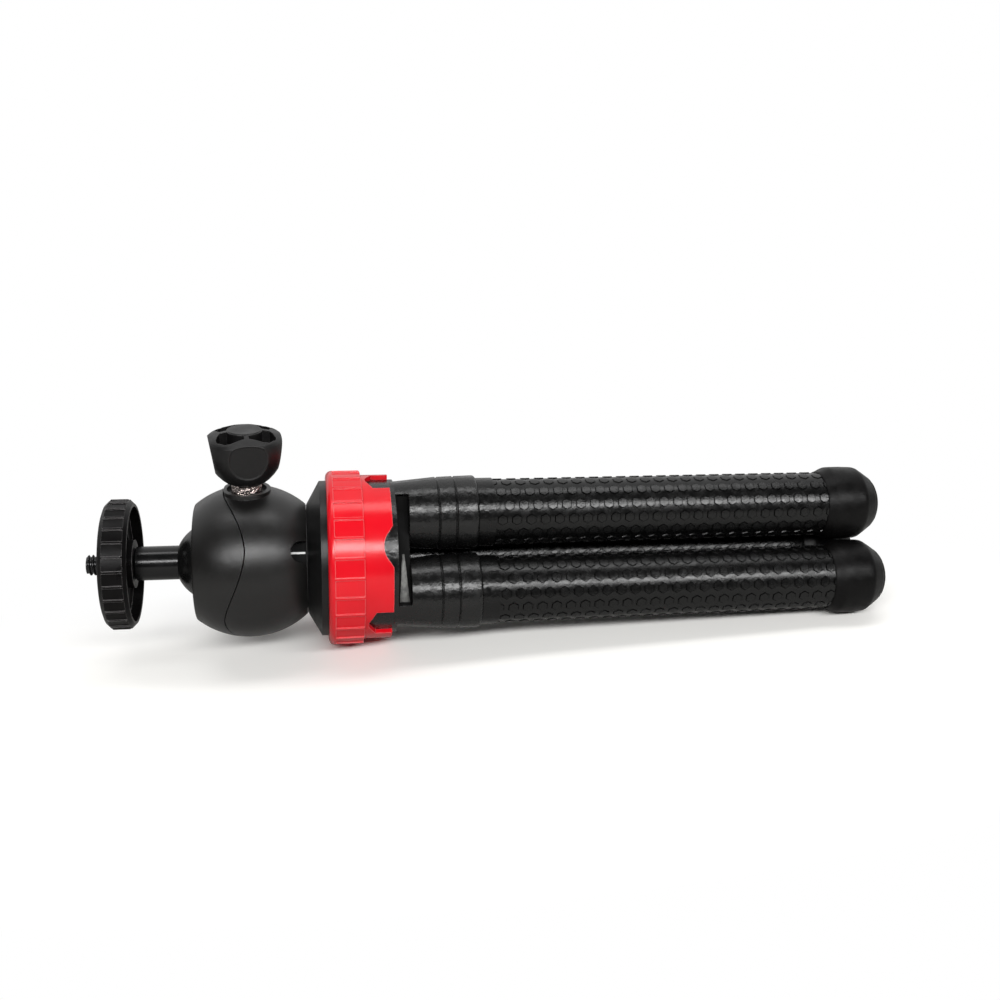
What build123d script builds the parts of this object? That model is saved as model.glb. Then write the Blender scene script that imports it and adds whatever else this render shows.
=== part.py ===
"""Mini tripod with a ball head and three bendable legs, folded and lying on a flat surface.

Millimetres, +Z up. +X runs from the camera screw towards the feet, -Y faces the viewer.
The origin is under the middle of the whole object, on the surface that it lies on.
Stations are distances along the tripod's own axis: 0 at the housing's neck, positive towards
the feet. Angles round that axis are 0 at the top and grow towards the viewer.
"""

import os
from math import acos, atan2, cos, degrees, hypot, radians, sin, sqrt

from build123d import *

os.makedirs("parts", exist_ok=True)

# Clearances between pieces
RUN_GAP = 0.30  # curved faces that move past each other
FACE_GAP = 0.10  # flat faces that turn on each other
SHAFT_GAP = 0.05  # a shaft turning or sliding in its bore
SNUG_GAP = 0.02  # pieces that are fixed together
SEAM_GAP = 0.25  # open seam between the two housing shells
SOLE_SEAM = 0.20  # open seam round a foot's sole

# How many legs there are, how thick they are and how far apart they lie
LEG_COUNT = 3
LEG_LETTERS = "abc"
SLEEVE_R = 10.3
LEG_GAP = 4.17
LEG_CIRCLE_R = (SLEEVE_R + LEG_GAP / 2) / sin(radians(180 / LEG_COUNT))
SOCKET_ROOT_R = SLEEVE_R

# Camera screw and locking disc
SCREW_R = 3.175
SCREW_CORE_R = SCREW_R - 0.175
SCREW_PROUD = 6.2
SCREW_TIP_CHAMFER = 0.5
SCREW_IN_STEM = 9.0
DISC_R = 20.0
DISC_THICK = 8.0
DISC_EDGE_CHAMFER = 1.5
DISC_PADS = 28
DISC_RIDGE_WIDTH = 0.7
DISC_RIDGE_DEPTH = 0.45
DISC_RIDGE_TURN = 8.8
DISC_RIM_WALL = 2.3
DISC_BACK_RECESS = 3.2
INSERT_R = 5.0
DISC_BOSS_R = INSERT_R + 2.4
PAD_WIDTH = 4.2
PAD_INNER_R = DISC_R - DISC_EDGE_CHAMFER - PAD_WIDTH - 1.1
DISC_WINDOWS = 6
DISC_WINDOW_RADIAL = PAD_INNER_R - DISC_BOSS_R - 2.0
DISC_WINDOW_WIDE = 5.6
DISC_WINDOW_ROUND = min(1.0, 0.4 * DISC_WINDOW_RADIAL)
PAD_THICK = 1.4
PAD_PROUD = 0.4

# Stem and ball
STEM_R = 5.25
STEM_CHAMFER = 0.5
STEM_IN_BALL = 8.0
BALL_R = 12.4
STEM_REACH = BALL_R + 11.9  # ball centre to the disc's back face

# Housing
BALL_DEPTH = 6.0  # ball centre behind the mouth
BALL_BACK_FROM_NECK = 15.2
HOUSING_LENGTH = BALL_DEPTH + BALL_R + BALL_BACK_FROM_NECK
HOUSING_MOUTH_R = BALL_R + 5.5
HOUSING_BELLY_R = BALL_R + 11.4
HOUSING_BELLY_FROM_NECK = 16.5
DRUM_R = 15.5
HOUSING_NECK_R = DRUM_R + RUN_GAP + 1.5
HOUSING_MOUTH_FILLET = 1.0
BALL_BORE_LAND = 1.0
SEAT_BORE_R = BALL_R + 1.1
SEAT_SHOULDER_FROM_NECK = 13.3
WASHER_R = 6.4
SCREW_WELL_R = WASHER_R + 1.1
PARTITION_FRONT_FROM_NECK = 9.0
PARTITION_BACK_FROM_NECK = 5.8
SEAM_FROM_NECK = 21.3
SEAM_WAVE = 3.35
SEAM_POINTS = 36
NOTCH_R = 3.3
NOTCH_DEPTH = 4.6
CAP_SCREW_R = 1.0
CAP_SCREW_HEAD_R = 1.7
CAP_SCREW_HEAD_DEEP = 1.6
CAP_SCREW_CIRCLE_R = SEAT_BORE_R + CAP_SCREW_R + 0.9
CAP_SCREW_LENGTH = 20.0

# Ball seat and clamp
SEAT_OUTER_R = SEAT_BORE_R - RUN_GAP
SEAT_HOLE_ANGLE = 18.0
SEAT_LIP_ANGLE = 62.0
SEAT_RIM = 1.4
KNOB_FROM_NECK = 17.5
PIN_R = 3.0
PIN_TRAVEL = 0.8
PIN_TOP = SEAT_OUTER_R + 2.1  # heights of the clamp's pieces are above the tripod's axis
BUSH_BOTTOM = PIN_TOP + PIN_TRAVEL + RUN_GAP
BOLT_R = 2.5
BUSH_R = BOLT_R + 2.1
BOSS_TOP = HOUSING_BELLY_R + 0.2
BUSH_TOP = BOSS_TOP + 2.2
BUSH_CHAMFER = 0.5
BOSS_RECESS_R = BUSH_R + 1.4
BOSS_R = BOSS_RECESS_R + 1.2
BOSS_RECESS = 1.2

# Clamp knob
KNOB_MAX_R = 11.8
KNOB_BASE_R = KNOB_MAX_R - 5.6
KNOB_WAIST_R = KNOB_MAX_R - 1.8
KNOB_SHOULDER_R = KNOB_MAX_R - 0.9
KNOB_TOP_R = KNOB_MAX_R - 6.9
KNOB_BASE = BUSH_TOP + RUN_GAP
KNOB_WAIST = KNOB_BASE + 4.3
KNOB_MAX = KNOB_WAIST + 5.8
KNOB_RIM = KNOB_MAX + 3.1
KNOB_SHOULDER = KNOB_RIM + 1.5
KNOB_TOP = KNOB_SHOULDER + 1.8
KNOB_LOBES = 4
KNOB_FACET_R = KNOB_MAX_R - 1.8
KNOB_FACET_HEIGHT = KNOB_MAX - 0.6
KNOB_FACET_LEAN = 9.0
KNOB_PHASE = 8.0  # from straight towards the viewer, round to the feet
KNOB_POCKET_RADIAL = 3.6
KNOB_POCKET_MID_R = KNOB_MAX_R - 4.6
KNOB_POCKET_WIDE = 7.0
KNOB_POCKET_DEEP = 4.2
KNOB_POCKET_ROUND = 0.9
KNOB_BOLT_DEEP = 12.0

# Pan drum, shoulder cap and red collar ring
DRUM_FLANGE_R = DRUM_R + 2.0
MARK_WIDE = 0.6
MARK_LONG = 5.2
MARK_DEEP = 0.3
PAN_SCREW_R = 2.5
PAN_SCREW_HEAD_R = PAN_SCREW_R + 1.9
PAN_SCREW_HEAD = 2.8
PAN_SCREW_IN_DRUM = 9.0
PAN_SCREW_KEY = 4.0
PAN_SCREW_KEY_DEEP = 1.6
WASHER_THICK = 0.7
NECK_GAP = 0.3
CONE_FRONT_R = HOUSING_NECK_R - 0.1
CONE_LENGTH = 4.0
DRUM_STEP = 2.9
HUB_FRONT = 6.5
HUB_R = LEG_CIRCLE_R + SOCKET_ROOT_R - 0.2
SPIGOT_R = HUB_R - 2.1
SPIGOT_LENGTH = 2.5
RING_FRONT = 6.3
RING_R = HUB_R + 3.1
BAND_WIDTH = 10.7
RING_NOSE_FILLET = 2.0
RING_EDGE_FILLET = 0.4
SKIRT_R = HUB_R + 1.6
SKIRT_LENGTH = 8.65
RING_PANELS = 28
PANEL_DEPTH = 0.45
RING_RIB_WIDTH = 0.8
RING_RIB_TURN = 3.0
PANEL_FROM_FRONT = 2.0
CUTOUT_HALF_ANGLE = 12.7
CUTOUT_TIP_HALF_ANGLE = 2.5
CUTOUT_STRAIGHT = 5.15
CUTOUT_DEEP = 7.35
TAB_NOTCH_R = 5.5
TAB_NOTCH_DEEP = 2.8
TAB_NOTCH_MOUTH = 6.3
TAB_NOTCH_THROAT = 4.6
TAB_NOTCH_THROAT_DEEP = 1.05

# Hub and leg sockets
HUB_END = 27.2
SLOT_WIDE = 4.3
SLOT_HALF = LEG_CIRCLE_R * sin(radians(180 / LEG_COUNT)) + 4.8
SLOT_RIB = 1.8
SLOT_FLOOR = LEG_CIRCLE_R * cos(radians(180 / LEG_COUNT)) + 4.85  # height above the axis
SLOT_RIB_TOP = SLOT_FLOOR + 1.5
SOCKET_LENGTH = 26.0
SOCKET_MID_R = SLEEVE_R + 1.2
SOCKET_END_R = SLEEVE_R + 1.5
SOCKET_GROOVES = (13.6, 19.0)  # from the hub's end
GROOVE_HALF = 0.45
GROOVE_DEEP = 0.4
SOCKET_FILLET = 1.0
HUB_SCREW_R = 1.5
HUB_SCREW_HEAD_R = 2.8
HUB_SCREW_HEAD = 2.0
HUB_SCREW_CIRCLE_R = 10.0
HUB_SCREW_LENGTH = 24.0
CORE_ANCHOR = 12.0

# Legs
COLLAR_R = SLEEVE_R + 0.6
COLLAR_LENGTH = 5.4
SLEEVE_LENGTH = 110.9
FIRST_BEND = 13.4
BEND_PITCH = 32.0
BENDS = 3
BEND_LIMIT = 60.0
BEND_SPARE = 2.0
CUP_RIM = 4.5
CORE_R = 2.6
CORE_IN_JOINT = 8.0
FOOT_R = SLEEVE_R + 1.9
FOOT_LENGTH = 20.5
FOOT_BELLY = 8.5
FOOT_BELLY_ARC_R = 20.0
FOOT_BELLY_HALF = 5.1
FOOT_START_R = SLEEVE_R + 0.1
BOOT_LENGTH = FOOT_BELLY + FOOT_BELLY_HALF
SOLE_MID_FROM_END = 2.5
SOLE_MID_R = FOOT_R - 3.75
SOLE_FLAT_R = FOOT_R - 8.05
SOLE_SPIGOT_R = FOOT_R - 4.25
SOLE_SPIGOT = 3.0
PLUG_R = CORE_R + 2.9
PLUG_IN_FOOT = 1.0
PLUG_GAP = 0.2
FAR_OUT = 60.0  # longer than any cut needs to be

# Stations that follow from the sizes above
MOUTH = -HOUSING_LENGTH
BALL = MOUTH + BALL_DEPTH
DISC_BACK = BALL - STEM_REACH
DISC_FRONT = DISC_BACK - DISC_THICK
SCREW_TIP = DISC_FRONT - SCREW_PROUD
STEM_FRONT = DISC_BACK + FACE_GAP
SEAT_SHOULDER = -SEAT_SHOULDER_FROM_NECK
PARTITION_FRONT = -PARTITION_FRONT_FROM_NECK
PARTITION_BACK = -PARTITION_BACK_FROM_NECK
KNOB = -KNOB_FROM_NECK
DRUM_FRONT = PARTITION_BACK + RUN_GAP
CONE_FRONT = NECK_GAP
CONE_END = CONE_FRONT + CONE_LENGTH
DRUM_SHOULDER = CONE_FRONT + DRUM_STEP
SPIGOT_END = HUB_FRONT + SPIGOT_LENGTH
BAND_END = RING_FRONT + BAND_WIDTH
SKIRT_END = BAND_END + SKIRT_LENGTH
SLOT_END = HUB_END + SLOT_WIDE
SOCKET_END = HUB_END + SOCKET_LENGTH
COLLAR_END = SOCKET_END + COLLAR_LENGTH
FOOT_START = COLLAR_END + SLEEVE_LENGTH
FOOT_END = FOOT_START + FOOT_LENGTH
BELLY_STATION = FOOT_START + FOOT_BELLY
PIVOTS = [COLLAR_END + FIRST_BEND + BEND_PITCH * k for k in range(BENDS)]

# How the folded tripod lies: on the collar ring's back edge and on the two lower feet.
# Both are arcs of revolution, so the tilt solves A cos(t) - B sin(t) = C.
LOW_LEG_DROP = LEG_CIRCLE_R * cos(radians(180 / LEG_COUNT))
CONTACT_A = (RING_R - RING_EDGE_FILLET) - (LOW_LEG_DROP + FOOT_R - FOOT_BELLY_ARC_R)
CONTACT_B = BELLY_STATION - (BAND_END - RING_EDGE_FILLET)
CONTACT_C = FOOT_BELLY_ARC_R - RING_EDGE_FILLET
TILT = acos(CONTACT_C / hypot(CONTACT_A, CONTACT_B)) - atan2(CONTACT_B, CONTACT_A)
UP = Vector(sin(TILT), 0, cos(TILT))
AHEAD = Vector(cos(TILT), 0, -sin(TILT))
NECK_HEIGHT = (
    (RING_R - RING_EDGE_FILLET) * cos(TILT)
    + (BAND_END - RING_EDGE_FILLET) * sin(TILT)
    + RING_EDGE_FILLET
)
LEFT_REACH = -SCREW_TIP * cos(TILT) + (SCREW_R - SCREW_TIP_CHAMFER) * sin(TILT)
RIGHT_REACH = FOOT_END * cos(TILT) + (LEG_CIRCLE_R + SOLE_FLAT_R) * sin(TILT)
NECK_X = (LEFT_REACH - RIGHT_REACH) / 2
AXIS = Plane(origin=(NECK_X, 0, NECK_HEIGHT), x_dir=UP, z_dir=AHEAD)

LEG_ANGLES = [360 / LEG_COUNT * k for k in range(LEG_COUNT)]
BETWEEN_ANGLES = [angle + 180 / LEG_COUNT for angle in LEG_ANGLES]


def side(plane):
    """The plane along a turned piece's axis, with station as x and radius as y."""
    return Plane(plane.origin, x_dir=plane.z_dir, z_dir=plane.y_dir)


def spin_line(plane):
    """The axis that a turned piece on this plane is revolved about."""
    return Axis(plane.origin, plane.z_dir)


def around(angle):
    """The tripod's axis plane with its x turned to an angle round the axis."""
    return Plane(AXIS.location * Rotation(0, 0, angle))


def leg_plane(angle):
    """A leg's own plane: x outwards from the tripod, z along the leg to its foot."""
    return Plane(around(angle).location * Pos(LEG_CIRCLE_R, 0, 0))


def outward(angle, station):
    """A plane that faces outwards from the axis: x along the axis, z outwards."""
    return Plane(AXIS.offset(station).origin, x_dir=AXIS.z_dir, z_dir=around(angle).x_dir)


def half_section(plane, *corners):
    """A closed face through (station, radius) corners, to revolve about the plane's axis."""
    with BuildSketch(side(plane)) as section:
        with BuildLine():
            Polyline(*corners, close=True)
        make_face()
    return section.sketch


def tube(plane, start, end, outer, inner):
    """The half section of a plain tube."""
    return half_section(plane, (start, inner), (start, outer), (end, outer), (end, inner))


def finish(builder, name):
    """Label a finished piece and write it to its own file."""
    builder.part.label = name
    export_step(builder.part, f"parts/{name}.step")


def make_camera_stud():
    """The camera screw: its exposed thread at full size and the hidden part that holds it."""
    neck = DISC_FRONT
    with BuildPart() as camera_stud:
        revolve(
            half_section(
                AXIS,
                (SCREW_TIP, 0),
                (SCREW_TIP, SCREW_R - SCREW_TIP_CHAMFER),
                (SCREW_TIP + SCREW_TIP_CHAMFER, SCREW_R),
                (neck, SCREW_R),
                (neck, SCREW_CORE_R),
                (STEM_FRONT + SCREW_IN_STEM, SCREW_CORE_R),
                (STEM_FRONT + SCREW_IN_STEM, 0),
            ),
            axis=spin_line(AXIS),
        )
    finish(camera_stud, "camera_stud")


def make_locking_disc():
    """The knurled disc that screws up against the camera."""
    recess_outer = DISC_R - DISC_RIM_WALL
    window_mid = DISC_BOSS_R + DISC_WINDOW_RADIAL / 2
    pad_groove_inner = PAD_INNER_R - RUN_GAP
    pad_groove_outer = PAD_INNER_R + PAD_WIDTH + RUN_GAP
    pad_groove = PAD_THICK - PAD_PROUD + RUN_GAP
    with BuildPart() as locking_disc:
        with BuildSketch(AXIS.offset(DISC_FRONT)):
            Circle(DISC_R - DISC_RIDGE_DEPTH)
            with PolarLocations(DISC_R - DISC_RIDGE_DEPTH, DISC_PADS, start_angle=DISC_RIDGE_TURN):
                Rectangle(2 * DISC_RIDGE_DEPTH, DISC_RIDGE_WIDTH)
        extrude(amount=DISC_THICK)
        revolve(
            half_section(
                AXIS,
                (DISC_FRONT, 0),
                (DISC_FRONT, DISC_R - DISC_EDGE_CHAMFER),
                (DISC_FRONT + DISC_EDGE_CHAMFER, DISC_R),
                (DISC_BACK - DISC_EDGE_CHAMFER, DISC_R),
                (DISC_BACK, DISC_R - DISC_EDGE_CHAMFER),
                (DISC_BACK, 0),
            ),
            axis=spin_line(AXIS),
            mode=Mode.INTERSECT,
        )
        with BuildSketch(AXIS.offset(DISC_BACK)):
            Circle(recess_outer)
            Circle(DISC_BOSS_R, mode=Mode.SUBTRACT)
        extrude(amount=-DISC_BACK_RECESS, mode=Mode.SUBTRACT)
        with BuildSketch(AXIS.offset(DISC_FRONT)):
            Circle(pad_groove_outer)
            Circle(pad_groove_inner, mode=Mode.SUBTRACT)
        extrude(amount=pad_groove, mode=Mode.SUBTRACT)
        with BuildSketch(AXIS.offset(DISC_FRONT)):
            with PolarLocations(window_mid, DISC_WINDOWS):
                RectangleRounded(DISC_WINDOW_RADIAL, DISC_WINDOW_WIDE, DISC_WINDOW_ROUND)
        extrude(amount=DISC_THICK, mode=Mode.SUBTRACT)
        with BuildSketch(AXIS.offset(DISC_FRONT)):
            Circle(INSERT_R + SNUG_GAP)
        extrude(amount=DISC_THICK, mode=Mode.SUBTRACT)
    finish(locking_disc, "locking_disc")

    with BuildPart() as disc_insert:
        revolve(
            tube(AXIS, DISC_FRONT, DISC_BACK, INSERT_R, SCREW_R + SHAFT_GAP),
            axis=spin_line(AXIS),
        )
    finish(disc_insert, "disc_insert")

    pad_front = DISC_FRONT - PAD_PROUD
    with BuildPart() as disc_pad:
        revolve(
            tube(AXIS, pad_front, pad_front + PAD_THICK, PAD_INNER_R + PAD_WIDTH, PAD_INNER_R),
            axis=spin_line(AXIS),
        )
    finish(disc_pad, "disc_pad")


def make_stem_and_ball():
    """The stem that carries the camera screw, and the ball that it stands in."""
    stem_end = BALL - BALL_R + STEM_IN_BALL
    with BuildPart() as stem:
        revolve(
            half_section(
                AXIS,
                (STEM_FRONT, SCREW_CORE_R + SNUG_GAP),
                (STEM_FRONT, STEM_R - STEM_CHAMFER),
                (STEM_FRONT + STEM_CHAMFER, STEM_R),
                (stem_end, STEM_R),
                (stem_end, 0),
                (STEM_FRONT + SCREW_IN_STEM + SNUG_GAP, 0),
                (STEM_FRONT + SCREW_IN_STEM + SNUG_GAP, SCREW_CORE_R + SNUG_GAP),
            ),
            axis=spin_line(AXIS),
        )
    finish(stem, "stem")

    with BuildPart() as ball:
        with Locations(AXIS.offset(BALL)):
            Sphere(BALL_R)
        revolve(
            half_section(
                AXIS,
                (MOUTH - FAR_OUT, 0),
                (MOUTH - FAR_OUT, STEM_R + SHAFT_GAP),
                (stem_end + FACE_GAP, STEM_R + SHAFT_GAP),
                (stem_end + FACE_GAP, 0),
            ),
            axis=spin_line(AXIS),
            mode=Mode.SUBTRACT,
        )
    finish(ball, "ball")


def make_ball_seat():
    """The turned cup behind the ball, with a cone at its back that the clamp pin wedges."""
    socket_r = BALL_R + RUN_GAP

    def on_socket(angle):
        return (BALL + socket_r * cos(radians(angle)), socket_r * sin(radians(angle)))

    lip = on_socket(SEAT_LIP_ANGLE)
    hole = on_socket(SEAT_HOLE_ANGLE)
    middle = on_socket((SEAT_LIP_ANGLE + SEAT_HOLE_ANGLE) / 2)
    rim_back = lip[0] + SEAT_RIM
    cone_length = KNOB + PIN_R + SHAFT_GAP - rim_back
    back_r = SEAT_OUTER_R - cone_length
    seat_back = SEAT_SHOULDER - RUN_GAP
    with BuildPart() as ball_seat:
        with BuildSketch(side(AXIS)):
            with BuildLine():
                ThreePointArc(hole, middle, lip)
                Polyline(
                    lip,
                    (lip[0], SEAT_OUTER_R),
                    (rim_back, SEAT_OUTER_R),
                    (rim_back + cone_length, back_r),
                    (seat_back, back_r),
                    (seat_back, hole[1]),
                    hole,
                )
            make_face()
        revolve(axis=spin_line(AXIS))
    finish(ball_seat, "ball_seat")
    return rim_back


def seam_curve(radius):
    """The wavy seam between the two housing shells, at one radius: three waves a turn."""
    points = []
    for k in range(SEAM_POINTS):
        angle = radians(360 / SEAM_POINTS * k)
        station = -SEAM_FROM_NECK - SEAM_WAVE * cos(LEG_COUNT * angle)
        points.append((radius * cos(angle), radius * sin(angle), station))
    return AXIS.from_local_coords(Edge.make_spline([Vector(*p) for p in points], periodic=True))


def housing_block():
    """Both housing shells as one solid, before the seam parts them."""
    socket_r = BALL_R + RUN_GAP
    mouth_bore = sqrt(socket_r**2 - BALL_DEPTH**2)
    lip_angle = atan2(mouth_bore, -BALL_DEPTH)
    lip_middle = (lip_angle + radians(90)) / 2
    with BuildPart() as block:
        with BuildSketch(side(AXIS)):
            with BuildLine():
                Line((MOUTH, 0), (MOUTH, HOUSING_MOUTH_R))
                ThreePointArc(
                    (MOUTH, HOUSING_MOUTH_R),
                    (-HOUSING_BELLY_FROM_NECK, HOUSING_BELLY_R),
                    (0, HOUSING_NECK_R),
                )
                Line((0, HOUSING_NECK_R), (0, 0))
                Line((0, 0), (MOUTH, 0))
            make_face()
        revolve(axis=spin_line(AXIS))
        fillet(block.edges().sort_by(spin_line(AXIS))[0], HOUSING_MOUTH_FILLET)
        with BuildSketch(outward(0, KNOB)):
            Circle(BOSS_R)
        extrude(amount=BOSS_TOP)
        with BuildSketch(outward(0, KNOB).offset(BOSS_TOP)):
            Circle(BOSS_RECESS_R)
        extrude(amount=-BOSS_RECESS, mode=Mode.SUBTRACT)
        with BuildSketch(side(AXIS)):
            with BuildLine():
                ThreePointArc(
                    (MOUTH, mouth_bore),
                    (BALL + socket_r * cos(lip_middle), socket_r * sin(lip_middle)),
                    (BALL, socket_r),
                )
                Polyline(
                    (BALL, socket_r),
                    (BALL + BALL_BORE_LAND, socket_r),
                    (BALL + BALL_BORE_LAND, SEAT_BORE_R),
                    (SEAT_SHOULDER, SEAT_BORE_R),
                    (SEAT_SHOULDER, SCREW_WELL_R),
                    (PARTITION_FRONT, SCREW_WELL_R),
                    (PARTITION_FRONT, PAN_SCREW_R + SHAFT_GAP),
                    (PARTITION_BACK, PAN_SCREW_R + SHAFT_GAP),
                    (PARTITION_BACK, DRUM_R + RUN_GAP),
                    (FAR_OUT, DRUM_R + RUN_GAP),
                    (FAR_OUT, 0),
                    (MOUTH, 0),
                    (MOUTH, mouth_bore),
                )
            make_face()
        revolve(axis=spin_line(AXIS), mode=Mode.SUBTRACT)
        with BuildSketch(outward(0, KNOB)):
            Circle(PIN_R + SHAFT_GAP)
        extrude(amount=BUSH_BOTTOM, mode=Mode.SUBTRACT)
        with BuildSketch(outward(0, KNOB).offset(BUSH_BOTTOM)):
            Circle(BUSH_R + SNUG_GAP)
        extrude(amount=BOSS_TOP, mode=Mode.SUBTRACT)
        with BuildSketch(outward(BETWEEN_ANGLES[0], NOTCH_R - NOTCH_DEPTH)):
            Circle(NOTCH_R)
            with Locations((NOTCH_R, 0)):
                Rectangle(2 * NOTCH_R, 2 * NOTCH_R)
        extrude(amount=FAR_OUT, mode=Mode.SUBTRACT)
        for angle in BETWEEN_ANGLES:
            hole = Plane(around(angle).location * Pos(CAP_SCREW_CIRCLE_R, 0, 0))
            with BuildSketch(hole.offset(MOUTH)):
                Circle(CAP_SCREW_HEAD_R + SNUG_GAP)
            extrude(amount=CAP_SCREW_HEAD_DEEP, mode=Mode.SUBTRACT)
            with BuildSketch(hole.offset(MOUTH)):
                Circle(CAP_SCREW_R + SNUG_GAP)
            extrude(amount=CAP_SCREW_LENGTH + SNUG_GAP, mode=Mode.SUBTRACT)
    return block.part


def make_housing():
    """The two shells of the head's housing, parted along the wavy seam, and their screws."""
    block = housing_block()
    seam = Face.make_surface_from_curves(
        seam_curve(HOUSING_BELLY_R + BOSS_TOP), seam_curve(BALL_R / 2)
    )
    front_side = extrude(seam, amount=FAR_OUT, dir=-AHEAD)
    back_side = front_side.moved(Location(AHEAD * SEAM_GAP))
    with BuildPart() as housing_cap:
        add(block)
        add(front_side, mode=Mode.INTERSECT)
    finish(housing_cap, "housing_cap")
    with BuildPart() as housing_body:
        add(block)
        add(back_side, mode=Mode.SUBTRACT)
    finish(housing_body, "housing_body")

    head_end = MOUTH + CAP_SCREW_HEAD_DEEP
    with BuildPart() as housing_screws:
        for angle in BETWEEN_ANGLES:
            line = Plane(around(angle).location * Pos(CAP_SCREW_CIRCLE_R, 0, 0))
            revolve(
                half_section(
                    line,
                    (MOUTH + SNUG_GAP, 0),
                    (MOUTH + SNUG_GAP, CAP_SCREW_HEAD_R),
                    (head_end, CAP_SCREW_HEAD_R),
                    (head_end, CAP_SCREW_R),
                    (MOUTH + CAP_SCREW_LENGTH, CAP_SCREW_R),
                    (MOUTH + CAP_SCREW_LENGTH, 0),
                ),
                axis=spin_line(line),
            )
    finish(housing_screws, "housing_screws")


def make_clamp(seat_rim_back):
    """The wedge pin that presses the seat onto the ball, with the knob's bush and bolt."""
    clamp = outward(0, KNOB)
    cone_height = SEAT_OUTER_R - (KNOB - seat_rim_back) + RUN_GAP * sqrt(2)
    wedge = Plane(clamp.offset(cone_height).origin, z_dir=UP + AHEAD)
    with BuildPart() as clamp_pin:
        with BuildSketch(clamp):
            Circle(PIN_R)
        extrude(amount=PIN_TOP)
        split(bisect_by=wedge, keep=Keep.TOP)
    finish(clamp_pin, "clamp_pin")

    with BuildPart() as knob_bush:
        revolve(
            half_section(
                clamp,
                (BUSH_BOTTOM + SNUG_GAP, BOLT_R + SHAFT_GAP),
                (BUSH_BOTTOM + SNUG_GAP, BUSH_R),
                (BUSH_TOP - BUSH_CHAMFER, BUSH_R),
                (BUSH_TOP, BUSH_R - BUSH_CHAMFER),
                (BUSH_TOP, BOLT_R + SHAFT_GAP),
            ),
            axis=spin_line(clamp),
        )
    finish(knob_bush, "knob_bush")

    with BuildPart() as knob_bolt:
        with BuildSketch(clamp.offset(PIN_TOP + FACE_GAP)):
            Circle(BOLT_R)
        extrude(amount=KNOB_BASE + KNOB_BOLT_DEEP - PIN_TOP - FACE_GAP)
    finish(knob_bolt, "knob_bolt")


def make_knob():
    """The four-sided clamp knob: a round flat on each side and pockets in its top."""
    clamp = outward(0, KNOB)
    facing = -90 + KNOB_PHASE
    with BuildPart() as knob:
        revolve(
            half_section(
                clamp,
                (KNOB_BASE, 0),
                (KNOB_BASE, KNOB_BASE_R),
                (KNOB_WAIST, KNOB_WAIST_R),
                (KNOB_MAX, KNOB_MAX_R),
                (KNOB_RIM, KNOB_MAX_R),
                (KNOB_SHOULDER, KNOB_SHOULDER_R),
                (KNOB_TOP, KNOB_TOP_R),
                (KNOB_TOP, 0),
            ),
            axis=spin_line(clamp),
        )
        for k in range(KNOB_LOBES):
            turn = Rotation(0, 0, facing + 360 / KNOB_LOBES * k)
            facet = Plane(
                clamp.location
                * turn
                * Pos(KNOB_FACET_R, 0, KNOB_FACET_HEIGHT)
                * Rotation(0, 90 + KNOB_FACET_LEAN, 0)
            )
            split(bisect_by=facet, keep=Keep.BOTTOM)
        with BuildSketch(clamp.offset(KNOB_TOP)):
            with PolarLocations(
                KNOB_POCKET_MID_R, KNOB_LOBES, start_angle=facing + 180 / KNOB_LOBES
            ):
                RectangleRounded(KNOB_POCKET_RADIAL, KNOB_POCKET_WIDE, KNOB_POCKET_ROUND)
        extrude(amount=-KNOB_POCKET_DEEP, mode=Mode.SUBTRACT)
        with BuildSketch(clamp.offset(KNOB_BASE)):
            Circle(BOLT_R + SNUG_GAP)
        extrude(amount=KNOB_BOLT_DEEP + SNUG_GAP, mode=Mode.SUBTRACT)
    finish(knob, "knob")


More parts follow.
